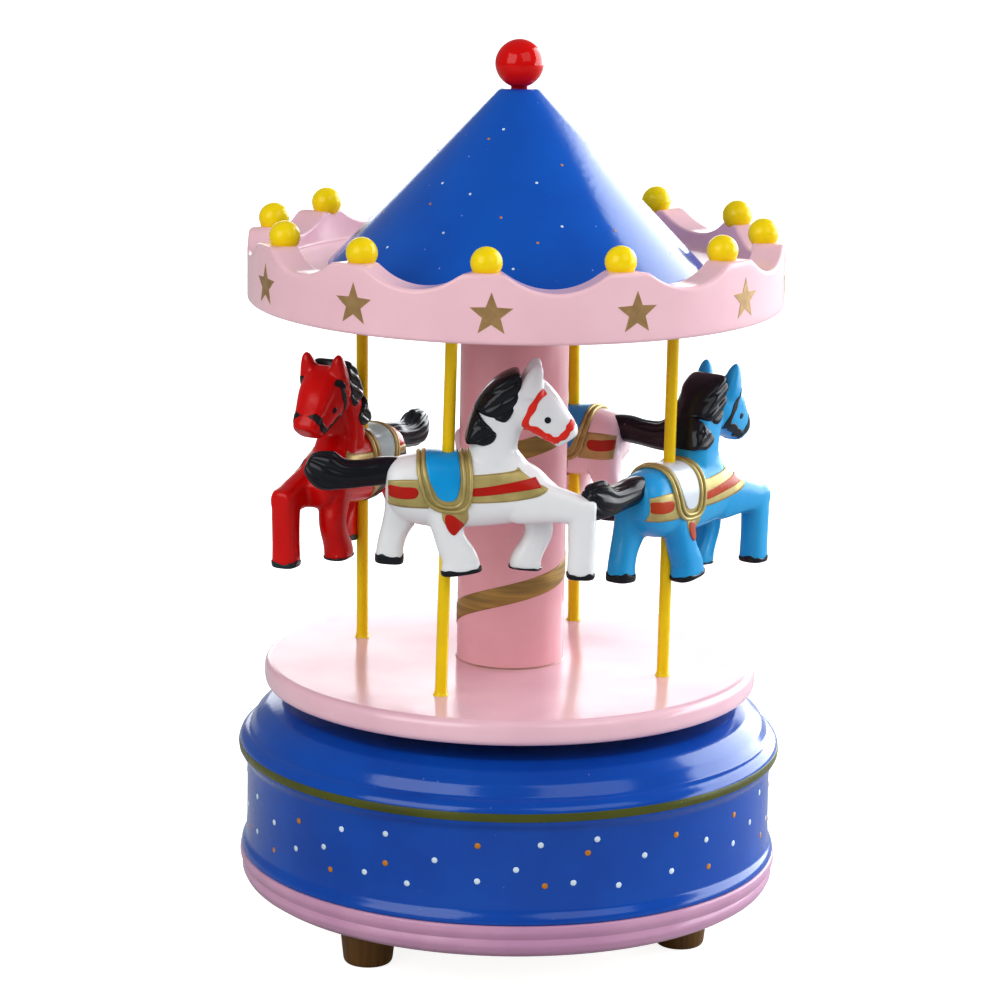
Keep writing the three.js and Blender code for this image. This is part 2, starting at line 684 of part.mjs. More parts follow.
function horseSolid() {
  const torso = slab(
    [[-10.6, 39], [-10.8, 43], [-9.6, 46.6], [-6.5, 48.6], [0, 48.2], [8, 49.5], [16, 46.5],
     [20.5, 42.6], [20, 37.5], [15.6, 34.6], [3.5, 33.4], [-6, 33.6], [-10, 36]],
    10.8, 0, 1.8,
  );
  const neck = slab(
    [[3.2, 44], [3.6, 50.5], [5.4, 57.5], [8.6, 62.4], [13, 64.4], [17.4, 62.4], [21.4, 58],
     [25.2, 53.6], [25, 51.6], [21.8, 49.8], [19, 51.8], [14.9, 52.4], [15.2, 48.4], [17.4, 44]],
    8, 0, 1.5,
  );
  const ears = [-3, 3].map((y) => {
    const ear = new THREE.ConeGeometry(2, 6, 7);
    ear.rotateX(Math.PI / 2);
    ear.translate(16.2, y, 63.9);
    return solid(ear);
  });
  const foreleg = slab(
    [[13, 43.5], [19.5, 42.6], [25, 40.4], [28.8, 39.4], [29.2, 36.6], [28.8, 24.6],
     [23.4, 24.6], [23.4, 35], [14, 35]],
    5, -3.1, 1.1,
  );
  const hindleg = slab(
    [[-3.6, 42], [2.6, 41], [3.6, 34.4], [7.2, 26.9], [6.4, 25.2], [2, 25.4], [-0.6, 27.4],
     [-3, 34]],
    5, -3.1, 1.1,
  );
  const backHindleg = slab(
    [[-10.8, 43], [-11.8, 36], [-13.2, 30], [-14, 26], [-8.6, 26], [-7.6, 31],
     [-5, 34.4], [-4.5, 42]],
    5, 3.1, 1.1,
  );
  const bentForeleg = slab(
    [[13.2, 42], [19.8, 41], [20.9, 32.6], [18.4, 25.4], [12.6, 25.4], [15.8, 32], [14.6, 35]],
    5, 3.1, 1.1,
  );
  const tail = slab(
    [[-8.6, 46.4], [-14, 47.6], [-21, 49.2], [-25.4, 49.8], [-27.8, 48.2], [-27, 45.4],
     [-21.6, 45.2], [-19.8, 41], [-15, 41.4], [-8.8, 42.6]],
    5.6, 0, 1.6,
  );
  const mane = slab(
    [[2.9, 51], [4.4, 57], [7.4, 62.2], [11.2, 65], [13.8, 64.6], [13.8, 59.6], [11.4, 54.8],
     [9.2, 54.8], [7.9, 50.2], [4.6, 49.6]],
    8.2, 0, 1.2,
  );
  return join([torso, neck, ...ears, foreleg, hindleg, backHindleg, bentForeleg, tail, mane]);
}

// Lower is how far each horse is pushed down its pole, below the white one.
const HORSES = [
  { name: "horse_white", heading: 2, lower: 0, color: 0xeef0ee },
  { name: "horse_blue", heading: 52, lower: 5.2, color: 0x1fa0d8 },
  { name: "horse_pink", heading: 154, lower: 2.3, color: 0xe8cfd2 },
  { name: "horse_red", heading: 244, lower: 4.3, color: 0xc41410 },
];
const HORSE_BORE_START = 15; // above the deck, below every horse's lowest hoof
const horseBody = horseSolid();
HORSES.forEach(({ name, heading, lower, color }, i) => {
  const [seat] = poleLine(i, DECK_TOP + HORSE_MID - lower, CROWN_BOTTOM);
  const bore = solid(poleRod(i, POLE_R + GAP, DECK_TOP + HORSE_BORE_START, CROWN_BOTTOM));
  const placed = horseBody
    .rotate([0, 0, heading])
    .translate([seat.x, seat.y, DECK_TOP - lower]);
  add(name, placed.subtract(bore), paint(color));
});

export default root;
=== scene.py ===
import math

import bmesh
import bpy
import numpy as np
from mathutils import Matrix, Vector


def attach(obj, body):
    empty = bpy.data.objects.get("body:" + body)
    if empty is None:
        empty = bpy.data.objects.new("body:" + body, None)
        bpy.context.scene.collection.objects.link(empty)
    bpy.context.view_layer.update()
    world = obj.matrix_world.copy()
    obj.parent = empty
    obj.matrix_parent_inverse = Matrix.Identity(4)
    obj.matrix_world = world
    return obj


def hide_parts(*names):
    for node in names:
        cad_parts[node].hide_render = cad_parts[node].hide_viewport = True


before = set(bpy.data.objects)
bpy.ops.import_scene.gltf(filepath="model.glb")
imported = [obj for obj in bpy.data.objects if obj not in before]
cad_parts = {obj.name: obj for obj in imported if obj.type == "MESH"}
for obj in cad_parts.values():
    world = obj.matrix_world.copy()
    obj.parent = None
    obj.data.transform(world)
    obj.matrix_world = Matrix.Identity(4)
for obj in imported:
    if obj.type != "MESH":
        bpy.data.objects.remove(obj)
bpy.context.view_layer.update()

# ---- Camera, floor and light ----
# The camera stands in front of the box with a long lens and looks a little down on the deck.
# The box stands on a wide white table, with a wide window behind it on the right, a lamp far
# behind and two soft lamps in front. Table and room look whiter than the light they give.
EYE = Vector((0, -0.7315, 0.2516))
PITCH, YAW, ROLL = (math.radians(a) for a in (12.508, -0.188, 0.896))
LENS = 133.55
SENSOR = 36

ahead = Vector(
    (math.sin(YAW) * math.cos(PITCH), math.cos(YAW) * math.cos(PITCH), -math.sin(PITCH))
)
level_right = ahead.cross(Vector((0, 0, 1))).normalized()
level_up = level_right.cross(ahead)
leaned_right = level_right * math.cos(ROLL) + level_up * math.sin(ROLL)
leaned_up = level_up * math.cos(ROLL) - level_right * math.sin(ROLL)
camera = bpy.data.objects.new("camera", bpy.data.cameras.new("camera"))
camera.data.lens = LENS
camera.data.sensor_width = SENSOR
camera.data.clip_start = 0.01
camera.matrix_world = (
    Matrix.Translation(EYE) @ Matrix((leaned_right, leaned_up, -ahead)).transposed().to_4x4()
)
bpy.context.scene.collection.objects.link(camera)
bpy.context.scene.camera = camera

bpy.context.scene.view_settings.view_transform = "Standard"
bpy.context.scene.view_settings.look = "Medium High Contrast"

TABLE_R = 6.0
TABLE_SIDES = 96
TABLE_COLOUR = (0.55, 0.55, 0.55, 1)
TABLE_GLOW = 0.72
table_turn = np.linspace(0, 2 * np.pi, TABLE_SIDES, endpoint=False)
table_rim = np.stack([np.cos(table_turn), np.sin(table_turn), 0 * table_turn], 1) * TABLE_R
table_mesh = bpy.data.meshes.new("table")
table_mesh.from_pydata(table_rim.tolist(), [], [list(range(TABLE_SIDES))])
table = bpy.data.objects.new("table", table_mesh)
bpy.context.scene.collection.objects.link(table)
table_paint = bpy.data.materials.new("table_paint")
table_paint.use_nodes = True
table_shader = table_paint.node_tree.nodes["Principled BSDF"]
table_shader.inputs["Base Color"].default_value = TABLE_COLOUR
table_shader.inputs["Roughness"].default_value = 0.9
table_shader.inputs["Specular IOR Level"].default_value = 0.1
table_shader.inputs["Emission Color"].default_value = (1, 1, 1, 1)
table_tree = table_paint.node_tree
table_seen = table_tree.nodes.new("ShaderNodeLightPath").outputs["Is Camera Ray"]
table_glow = table_tree.nodes.new("ShaderNodeMath")
table_glow.operation = "MULTIPLY"
table_glow.inputs[1].default_value = TABLE_GLOW
table_tree.links.new(table_seen, table_glow.inputs[0])
table_tree.links.new(table_glow.outputs[0], table_shader.inputs["Emission Strength"])
table_mesh.materials.append(table_paint)

ROOM_COLOUR = (0.94, 0.97, 1.0, 1)
ROOM_LIGHT = 0.30
room = bpy.data.worlds.new("room")
bpy.context.scene.world = room
room.use_nodes = True
room_nodes = room.node_tree.nodes
room_links = room.node_tree.links
room_fill = room_nodes["Background"]
room_fill.inputs["Color"].default_value = ROOM_COLOUR
room_fill.inputs["Strength"].default_value = ROOM_LIGHT
room_white = room_nodes.new("ShaderNodeBackground")
room_white.inputs["Color"].default_value = (1, 1, 1, 1)
room_choice = room_nodes.new("ShaderNodeMixShader")
room_seen = room_nodes.new("ShaderNodeLightPath").outputs["Is Camera Ray"]
room_links.new(room_seen, room_choice.inputs[0])
room_links.new(room_fill.outputs[0], room_choice.inputs[1])
room_links.new(room_white.outputs[0], room_choice.inputs[2])
room_links.new(room_choice.outputs[0], room_nodes["World Output"].inputs["Surface"])

HEART = Vector((0, 0, 0.1))  # the point that the lamps face


def lamp(name, towards, distance, width, height, glow, colour=(1, 1, 1), along=(0, 0, 1)):
    """A flat lamp that faces the box from a direction, its width turned along a given line."""
    facing = Vector(towards).normalized()
    wide = Vector(along) - facing * Vector(along).dot(facing)
    wide.normalize()
    tall = facing.cross(wide)
    light = bpy.data.lights.new(name, "AREA")
    light.shape = "RECTANGLE"
    light.size = width
    light.size_y = height
    light.color = colour
    light.energy = glow * width * height * math.pi
    stand = bpy.data.objects.new(name, light)
    stand.matrix_world = (
        Matrix.Translation(HEART + facing * distance)
        @ Matrix((wide, tall, facing)).transposed().to_4x4()
    )
    stand.visible_camera = False
    bpy.context.scene.collection.objects.link(stand)


lamp("window", (0.844, 0.50, 0.035), 1.3, 1.8, 1.8, 5.0, (0.95, 0.98, 1.0), (0.366, -0.671, 0.645))
lamp("front_left", (-0.62, -0.72, 0.46), 1.3, 1.0, 1.0, 2.5, (1.0, 0.99, 0.97))
lamp("front_right", (0.55, -0.72, 0.66), 1.3, 0.9, 0.9, 1.4, (1.0, 0.99, 0.97))
lamp("behind", (0.10, 0.98, 0.16), 3.2, 3.0, 1.2, 1.8, (1, 1, 1), (1, 0, 0))

# ---- Base housing ----
# A drum turned from one block of wood and sprayed blue, with a rounded shoulder, a gold line
# round its widest part and a fine groove above it. White and orange dots are stamped on the
# wall by hand.
MM = 0.001
ROUND_STEPS = 5
TURNED_SIDES = 256
HOUSING_OUTLINE = (
    (44, 17.8), (54.6, 17.8), (54.3, 19.3), (53.6, 20.2), (53.35, 24), (53.3, 34),
    (53.5, 36.6), (54.7, 38.2), (55, 39.6), (54.7, 41.2), (53.6, 42.3), (52.6, 42.7),
    (51.6, 45), (49.2, 47.2), (46.4, 48.5), (3.4, 48.5), (3.4, 42), (44, 42),
)
HOUSING_ROUND = 0.6
BLUE = (0.0012, 0.080, 0.42, 1)
BLUE_DEEP = (0.001, 0.062, 0.36, 1)
GOLD_LINE = ((54.94, 38.7), (55.06, 39.6), (54.94, 40.4), (54.5, 40.4), (54.5, 38.7))
OLIVE_GOLD = (0.095, 0.105, 0.012, 1)
OLIVE_GOLD_WORN = (0.06, 0.07, 0.010, 1)
DOT_R = 0.62
DOT_WALL_R = 53.36
WHITE_DOTS = (
    (-60, 29.1), (-70, 24.5), (-51, 26.0), (-42, 28.4), (-37, 33.0), (-26, 33.9),
    (-31, 25.4), (-15, 29.9), (-21, 24.6), (-6, 26.3), (2, 28.8), (7, 33.7), (14, 25.9),
    (19, 34.3), (24, 24.6), (30, 29.9), (37, 25.6), (47, 30.1), (57, 27.1), (65, 29.5),
    (71, 34.1), (-70, 31.8), (79, 26.5), (-80, 27.5), (87, 31.5), (-87, 33.0),
)
ORANGE_DOTS = (
    (-50, 31.9), (-60, 23.3), (-40, 24.2), (-26, 28.0), (-6, 33.4), (8, 25.5), (17, 31.7),
    (38, 32.8), (48, 24.4), (57, 33.0), (73, 24.6), (-77, 23.6), (84, 25.0),
)
DOT_WHITE = (0.72, 0.84, 0.95, 1)
DOT_ORANGE = (0.62, 0.24, 0.02, 1)


def stitched(name, sheets, finish, smooth=True):
    """One closed piece from sheets of points in millimetres, each rows by columns (or a stack
    of such grids). Neighbouring points make four-sided faces, points that coincide are joined,
    so seams and poles close, and the faces are turned outwards."""
    points, faces, first = [], [], 0
    for sheet in sheets:
        sheet = np.asarray(sheet, float)
        stack = sheet.reshape((-1,) + sheet.shape[-3:])
        number = np.arange(stack[..., 0].size).reshape(stack.shape[:3]) + first
        corners = (number[:, :-1, :-1], number[:, 1:, :-1], number[:, 1:, 1:], number[:, :-1, 1:])
        faces.append(np.stack(corners, -1).reshape(-1, 4))
        points.append(stack.reshape(-1, 3) * MM)
        first += number.size
    mesh = bpy.data.meshes.new(name)
    mesh.from_pydata(np.concatenate(points).tolist(), [], np.concatenate(faces).tolist())
    shell = bmesh.new()
    shell.from_mesh(mesh)
    bmesh.ops.remove_doubles(shell, verts=shell.verts, dist=2e-7)
    bmesh.ops.recalc_face_normals(shell, faces=shell.faces)
    shell.to_mesh(mesh)
    shell.free()
    mesh.polygons.foreach_set("use_smooth", np.full(len(mesh.polygons), smooth))
    mesh.materials.append(finish)
    piece = bpy.data.objects.new(name, mesh)
    bpy.context.scene.collection.objects.link(piece)
    return piece


def rounded(outline, reach, loop=True):
    """The outline with every corner replaced by a quadratic curve that starts and ends at most
    reach from the corner, and never past the middle of a side."""
    corner = np.asarray(outline, float)
    before, after = np.roll(corner, 1, 0) - corner, np.roll(corner, -1, 0) - corner
    share = [
        np.minimum(reach / np.linalg.norm(side, axis=1), 0.5)[:, None] for side in (before, after)
    ]
    if not loop:
        share[0][[0, -1]] = share[1][[0, -1]] = 0
    start, end = corner + before * share[0], corner + after * share[1]
    step = np.linspace(0, 1, ROUND_STEPS)[None, :, None]
    curve = (
        (1 - step) ** 2 * start[:, None]
        + 2 * step * (1 - step) * corner[:, None]
        + step**2 * end[:, None]
    )
    curve = curve.reshape(-1, 2)
    return np.concatenate([curve, curve[:1]]) if loop else curve


def turned(outline, sides=TURNED_SIDES):
    """An outline of radius and height, turned round the main axis from the front."""
    outline = np.asarray(outline, float)
    turn = np.linspace(0, 2 * np.pi, sides + 1)
    radius, height = outline[:, :1], outline[:, 1:]
    return np.stack(
        [radius * np.sin(turn), -radius * np.cos(turn), height + 0 * turn], -1
    )


def shade(finish, kind, settings=(), **inputs):
    """A shading node whose inputs are numbers, colours or the outputs of other nodes."""
    tree = finish.node_tree
    node = tree.nodes.new("ShaderNode" + kind)
    for key, value in dict(settings).items():
        setattr(node, key, value)
    for key, value in inputs.items():
        socket = node.inputs[int(key[1:]) if key[1:].isdigit() else key.replace("_", " ")]
        if isinstance(value, bpy.types.NodeSocket):
            tree.links.new(value, socket)
        else:
            socket.default_value = value
    return node


def blended(finish, share, first, second):
    """A colour that runs from the first to the second as share goes from 0 to 1."""
    mix = shade(finish, "Mix", {"data_type": "RGBA"}, i0=share, i6=first, i7=second)
    return mix.outputs[2]


def between(finish, value, low, high, to_low=0.0, to_high=1.0):
    """The value carried over from one range to another and held at its ends."""
    node = shade(
        finish, "MapRange", {"clamp": True}, Value=value,
        From_Min=low, From_Max=high, To_Min=to_low, To_Max=to_high,
    )
    return node.outputs[0]


def lacquer(name, colour, deep, rough=0.16, rings=0.0, dust=0.35, peel=0.05, shine=0.35):
    """Sprayed gloss lacquer: two close colours in soft clouds, faint rings left by turning,
    sparse dust grains caught in the paint, and a slight orange-peel surface."""
    finish = bpy.data.materials.new(name)
    finish.use_nodes = True
    shader = finish.node_tree.nodes["Principled BSDF"]
    shader.inputs["IOR"].default_value = 1.47
    shader.inputs["Specular IOR Level"].default_value = shine
    place = shade(finish, "TexCoord").outputs["Object"]
    cloud = shade(finish, "TexNoise", Vector=place, Scale=55.0, Detail=3.0).outputs[0]
    tone = between(finish, cloud, 0.35, 0.68)
    if rings:
        bands = shade(finish, "Mapping", Vector=place, Scale=(6.0, 6.0, 1500.0)).outputs[0]
        ring = shade(finish, "TexNoise", Vector=bands, Scale=1.0, Detail=2.0).outputs[0]
        tone = shade(
            finish, "Math", {"operation": "MULTIPLY_ADD"}, i0=ring, i1=rings, i2=tone
        ).outputs[0]
    paint = blended(finish, tone, colour, deep)
    grain = shade(finish, "TexVoronoi", Vector=place, Scale=420.0).outputs["Distance"]
    speck = between(finish, grain, 0.05, 0.09, dust, 0.0)
    rare = shade(finish, "TexNoise", Vector=place, Scale=150.0, Detail=0.0).outputs[0]
    speck = shade(
        finish, "Math", {"operation": "MULTIPLY"}, i0=speck, i1=between(finish, rare, 0.55, 0.68)
    ).outputs[0]
    paint = blended(finish, speck, paint, tuple(min(1, 0.35 + 0.65 * c) for c in colour[:3]) + (1,))
    finish.node_tree.links.new(paint, shader.inputs["Base Color"])
    sheen = between(finish, cloud, 0.3, 0.7, rough * 0.8, rough * 1.3)
    finish.node_tree.links.new(sheen, shader.inputs["Roughness"])
    skin = shade(finish, "TexNoise", Vector=place, Scale=700.0, Detail=2.0).outputs[0]
    bump = shade(finish, "Bump", Strength=peel, Distance=0.0004, Height=skin)
    finish.node_tree.links.new(bump.outputs[0], shader.inputs["Normal"])
    return finish


def spots(places, radius, lift, sides=9):
    """Small raised lenses. Each place is a centre, the two directions of its face, and its
    outward normal. The lens rises by lift in the middle and its foot lies under the surface."""
    centre, across, along, outward = (np.asarray(part, float) for part in places)
    ring = np.array([0, 0.62, 1.0, 1.0, 0]) * radius
    rise = np.array([1.0, 0.85, 0.05, -1.6, -1.8]) * lift
    turn = np.linspace(0, 2 * np.pi, sides + 1)
    grid = (
        centre[:, None, None]
        + ring[:, None, None] * np.cos(turn)[:, None] * across[:, None, None]
        + ring[:, None, None] * np.sin(turn)[:, None] * along[:, None, None]
        + rise[:, None, None] * outward[:, None, None]
    )
    return grid


def wall_places(dots):
    """Places on the upright wall from an angle round the axis, in degrees, and a height. The
    pattern comes again, turned half round, on the back."""
    angle, height = np.asarray(dots, float).T
    angle = np.radians(np.concatenate([angle, angle + 180]))
    height = np.concatenate([height, height])
    outward = np.stack([np.sin(angle), -np.cos(angle), 0 * angle], -1)
    across = np.stack([np.cos(angle), np.sin(angle), 0 * angle], -1)
    centre = outward * DOT_WALL_R + np.array([0, 0, 1]) * height[:, None]
    return centre, across, np.tile([0.0, 0.0, 1.0], (len(angle), 1)), outward


blue_lacquer = lacquer("blue_lacquer", BLUE, BLUE_DEEP, rings=0.25, shine=0.5)
housing = stitched(
    "housing_drum", [turned(rounded(HOUSING_OUTLINE, HOUSING_ROUND))], blue_lacquer
)
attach(housing, "base")
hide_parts("base_housing")

gold_line_paint = lacquer("gold_line_paint", OLIVE_GOLD, OLIVE_GOLD_WORN, rough=0.3, peel=0.2)
gold_line = stitched("gold_line", [turned(rounded(GOLD_LINE, 0.12))], gold_line_paint)
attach(gold_line, "base")

for dots_name, dots, dot_colour in (
    ("dots_white", WHITE_DOTS, DOT_WHITE),
    ("dots_orange", ORANGE_DOTS, DOT_ORANGE),
):
    dot_paint = lacquer(
        dots_name + "_paint", dot_colour, tuple(c * 0.75 for c in dot_colour[:3]) + (1,), rough=0.35
    )
    dot_piece = stitched(dots_name, [spots(wall_places(dots), DOT_R, 0.09)], dot_paint)
    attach(dot_piece, "base")

# ---- Foot ring, bottom plate and feet ----
# A turned pink ring with a fine groove is glued under the drum. A plywood plate closes the
# bottom inside it, and three turned feet of brown-stained wood are glued to the plate.
RING_OUTLINE = (
    (44, 10.2), (49.2, 10.2), (51.6, 10.7), (53.6, 12), (54.4, 13.6), (54.15, 14.6),
    (54.0, 14.9), (54.3, 15.3), (54.8, 16.4), (54.6, 17.8), (44, 17.8),
)
RING_PINK = (0.62, 0.36, 0.50, 1)
RING_PINK_DEEP = (0.52, 0.28, 0.43, 1)
FOOT_OUTLINE = ((0, 0), (4.4, 0), (4.9, 0.6), (5.8, 8.6), (5.2, 10.2), (0, 10.2))
FOOT_ROUND = 0.5
FOOT_RING_R = 37.2
FOOT_ANGLE = -47.5
FOOT_BROWN = (0.17, 0.085, 0.018, 1)
FOOT_BROWN_DEEP = (0.12, 0.058, 0.012, 1)
PLY = (0.62, 0.47, 0.30, 1)
PLY_DARK = (0.45, 0.31, 0.18, 1)


def wood(name, pale, dark, rough=0.5, grain=(40.0, 900.0, 900.0)):
    """Bare or stained wood: long narrow fibres in two tones, with the same fibres as relief."""
    finish = bpy.data.materials.new(name)
    finish.use_nodes = True
    shader = finish.node_tree.nodes["Principled BSDF"]
    place = shade(finish, "TexCoord").outputs["Object"]
    stretched = shade(finish, "Mapping", Vector=place, Scale=grain).outputs[0]
    fibre = shade(finish, "TexNoise", Vector=stretched, Scale=1.0, Detail=5.0).outputs[0]
    colour = blended(finish, between(finish, fibre, 0.35, 0.65), pale, dark)
    finish.node_tree.links.new(colour, shader.inputs["Base Color"])
    finish.node_tree.links.new(
        between(finish, fibre, 0.3, 0.7, rough * 0.8, rough * 1.2), shader.inputs["Roughness"]
    )
    bump = shade(finish, "Bump", Strength=0.25, Distance=0.0004, Height=fibre)
    finish.node_tree.links.new(bump.outputs[0], shader.inputs["Normal"])
    return finish


pink_ring_lacquer = lacquer("pink_ring_lacquer", RING_PINK, RING_PINK_DEEP, rings=0.3)
foot_ring = stitched("foot_ring", [turned(rounded(RING_OUTLINE, 0.5))], pink_ring_lacquer)
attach(foot_ring, "base")
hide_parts("base_ring")

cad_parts["bottom_plate"].data.materials[0] = wood("plywood", PLY, PLY_DARK, rough=0.6)

foot_stain = wood("foot_stain", FOOT_BROWN, FOOT_BROWN_DEEP, 0.32, (900.0, 900.0, 60.0))
for foot_number in range(3):
    foot_angle = math.radians(FOOT_ANGLE + 120 * foot_number)
    foot_place = np.array([math.sin(foot_angle), -math.cos(foot_angle), 0]) * FOOT_RING_R
    foot_grid = turned(rounded(FOOT_OUTLINE, FOOT_ROUND, loop=False), 48) + foot_place
    foot = stitched(f"foot_{foot_number + 1}_turned", [foot_grid], foot_stain)
    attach(foot, "base")
    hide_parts(f"foot_{foot_number + 1}")

# ---- Movement ----
# A pressed steel bedplate is screwed under the top of the drum and carries the spring cup,
# the steel comb, the brass pin cylinder and the worm-driven governor. The metal is left bare
# and brushed, and the governor's small fan is moulded.


def bare_metal(name, colour, dull, rough=0.3, lay=(60.0, 900.0, 900.0)):
    """Brushed metal: fine parallel scratches change its tone and its roughness."""
    finish = bpy.data.materials.new(name)
    finish.use_nodes = True
    shader = finish.node_tree.nodes["Principled BSDF"]
    shader.inputs["Metallic"].default_value = 1.0
    place = shade(finish, "TexCoord").outputs["Object"]
    brushed = shade(finish, "Mapping", Vector=place, Scale=lay).outputs[0]
    scratch = shade(finish, "TexNoise", Vector=brushed, Scale=1.0, Detail=4.0).outputs[0]
    finish.node_tree.links.new(
        blended(finish, between(finish, scratch, 0.3, 0.7), colour, dull),
        shader.inputs["Base Color"],
    )
    finish.node_tree.links.new(
        between(finish, scratch, 0.3, 0.7, rough * 0.7, rough * 1.4), shader.inputs["Roughness"]
    )
    bump = shade(finish, "Bump", Strength=0.15, Distance=0.0002, Height=scratch)
    finish.node_tree.links.new(bump.outputs[0], shader.inputs["Normal"])
    return finish


steel = bare_metal("brushed_steel", (0.52, 0.53, 0.55, 1), (0.36, 0.37, 0.39, 1))
spring_steel = bare_metal("blued_spring_steel", (0.12, 0.14, 0.19, 1), (0.06, 0.07, 0.10, 1), 0.25)
brass = bare_metal("brushed_brass", (0.72, 0.50, 0.20, 1), (0.52, 0.34, 0.12, 1))
fan_nylon = lacquer(
    "fan_nylon", (0.80, 0.78, 0.70, 1), (0.72, 0.70, 0.62, 1), rough=0.5, dust=0.1, peel=0.2
)
MOVEMENT_METAL = (
    (steel, (
        "movement_bedplate", "bedplate_screw_1", "bedplate_screw_2", "bedplate_screw_3",
        "spring_housing", "comb", "comb_screw_1", "comb_screw_2", "winding_arbor",
        "wheel_pinion", "worm_shaft", "deck_hub", "hub_screw_1", "hub_screw_2", "hub_screw_3",
    )),
    (spring_steel, ("mainspring",)),
    (brass, (
        "comb_bridge", "cylinder_bearing", "end_bearing_plate", "wheel_bearing", "worm_bracket",
        "drive_gear", "pin_cylinder", "cylinder_pinion", "cylinder_gear", "worm_wheel",
    )),
    (fan_nylon, ("governor_fan",)),
)
for metal_finish, metal_nodes in MOVEMENT_METAL:
    for metal_node in metal_nodes:
        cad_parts[metal_node].data.materials[0] = metal_finish

# ---- Deck ----
# A turned wooden disc with soft edges, sprayed pink, that turns just above the drum on the
# movement's arbor. The poles and the column are glued into blind holes in it.
DECK_OUTLINE = (
    (2.3, 52), (48.6, 52), (49.5, 52.5), (49.8, 53.4), (49.8, 55.6), (49.5, 56.5), (48.6, 57),
    (5.3, 57), (5.3, 53.2), (2.3, 53.2),
)
DECK_PINK = (0.83, 0.54, 0.61, 1)
DECK_PINK_DEEP = (0.77, 0.48, 0.56, 1)
pink_deck_lacquer = lacquer("pink_deck_lacquer", DECK_PINK, DECK_PINK_DEEP, dust=0.5, shine=0.6)
deck_disc = stitched("deck_disc", [turned(rounded(DECK_OUTLINE, 0.6))], pink_deck_lacquer)
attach(deck_disc, "carousel")
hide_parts("deck")

# ---- Column ----
# A straight turned column, sprayed pink, with a spigot at each end. A streaky gold tape is
# wound round it in a loose spiral, and a brown line of glue shows where it meets the deck.
COLUMN_R = 10.85
DECK_TOP = 57
CROWN_BOTTOM = 130.5
SPIGOT_R = 5
SPIGOT_L = 3.5
COLUMN_PINK = (0.80, 0.43, 0.47, 1)
COLUMN_PINK_DEEP = (0.73, 0.38, 0.42, 1)
TAPE_WIDTH = 4.0
TAPE_START = 72.6
TAPE_RISE = 29.0
TAPE_WAVE = 2.1
TAPE_PHASE = math.radians(144.5)
TAPE_GOLD = (0.42, 0.26, 0.075, 1)
TAPE_GOLD_DARK = (0.26, 0.17, 0.06, 1)
GLUE_BROWN = (0.20, 0.11, 0.04, 1)
column_outline = (
    (0, DECK_TOP - SPIGOT_L), (SPIGOT_R, DECK_TOP - SPIGOT_L), (SPIGOT_R, DECK_TOP),
    (COLUMN_R, DECK_TOP), (COLUMN_R, CROWN_BOTTOM), (SPIGOT_R, CROWN_BOTTOM),
    (SPIGOT_R, CROWN_BOTTOM + SPIGOT_L), (0, CROWN_BOTTOM + SPIGOT_L),
)
pink_column_lacquer = lacquer(
    "pink_column_lacquer", COLUMN_PINK, COLUMN_PINK_DEEP, rough=0.2, dust=0.6
)
column = stitched(
    "column_shaft", [turned(rounded(column_outline, 0.2, loop=False), 128)], pink_column_lacquer
)
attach(column, "carousel")
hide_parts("column")


def carried(path, section, axes):
    """A closed section carried along a path: point = path + section's first number times the
    first axis + its second number times the second axis. Both ends are closed to a point."""
    path, section = np.asarray(path, float), np.asarray(section, float)
    section = np.concatenate([section, section[:1]])
    grid = (
        path[:, None]
        + section[None, :, :1] * np.asarray(axes[0], float)[:, None]
        + section[None, :, 1:] * np.asarray(axes[1], float)[:, None]
    )
    ends = [np.repeat(row.mean(0)[None, None], grid.shape[1], 1) for row in (grid[0], grid[-1])]
    return np.concatenate([ends[0], grid, ends[1]])


tape_turn = np.radians(np.linspace(-215, 745, 480))
tape_middle = (
    TAPE_START
    + TAPE_RISE * tape_turn / (2 * np.pi)
    + TAPE_WAVE * (np.sin(tape_turn + TAPE_PHASE) - math.sin(TAPE_PHASE))
)
tape_outward = np.stack([np.sin(tape_turn), -np.cos(tape_turn), 0 * tape_turn], -1)
tape_across = np.tile([0.0, 0.0, 1.0], (len(tape_turn), 1))
tape_path = tape_outward * COLUMN_R + tape_across * tape_middle[:, None]
tape_section = np.array(
    [(0.10, -0.5), (0.13, -0.45), (0.13, 0.45), (0.10, 0.5), (-0.15, 0.5), (-0.15, -0.5)]
) * (1, TAPE_WIDTH)
tape_grid = carried(tape_path, tape_section, (tape_outward, tape_across))
tape_grid[..., 2] = np.clip(tape_grid[..., 2], DECK_TOP + 0.1, CROWN_BOTTOM - 0.1)


def foil(name, bright, dark, lay):
    """Gold foil or gilding: streaks of a darker tone run along it and dull its metal."""
    finish = bpy.data.materials.new(name)
    finish.use_nodes = True
    shader = finish.node_tree.nodes["Principled BSDF"]
    shader.inputs["Metallic"].default_value = 0.45
    place = shade(finish, "TexCoord").outputs["Object"]
    drawn = shade(finish, "Mapping", Vector=place, Scale=lay).outputs[0]
    streak = shade(finish, "TexNoise", Vector=drawn, Scale=1.0, Detail=4.0).outputs[0]
    finish.node_tree.links.new(
        blended(finish, between(finish, streak, 0.36, 0.64), bright, dark),
        shader.inputs["Base Color"],
    )
    finish.node_tree.links.new(
        between(finish, streak, 0.3, 0.7, 0.3, 0.5), shader.inputs["Roughness"]
    )
    bump = shade(finish, "Bump", Strength=0.2, Distance=0.0003, Height=streak)
    finish.node_tree.links.new(bump.outputs[0], shader.inputs["Normal"])
    return finish


tape = stitched(
    "column_tape", [tape_grid], foil("gold_tape", TAPE_GOLD, TAPE_GOLD_DARK, (60.0, 60.0, 1100.0))
)
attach(tape, "carousel")

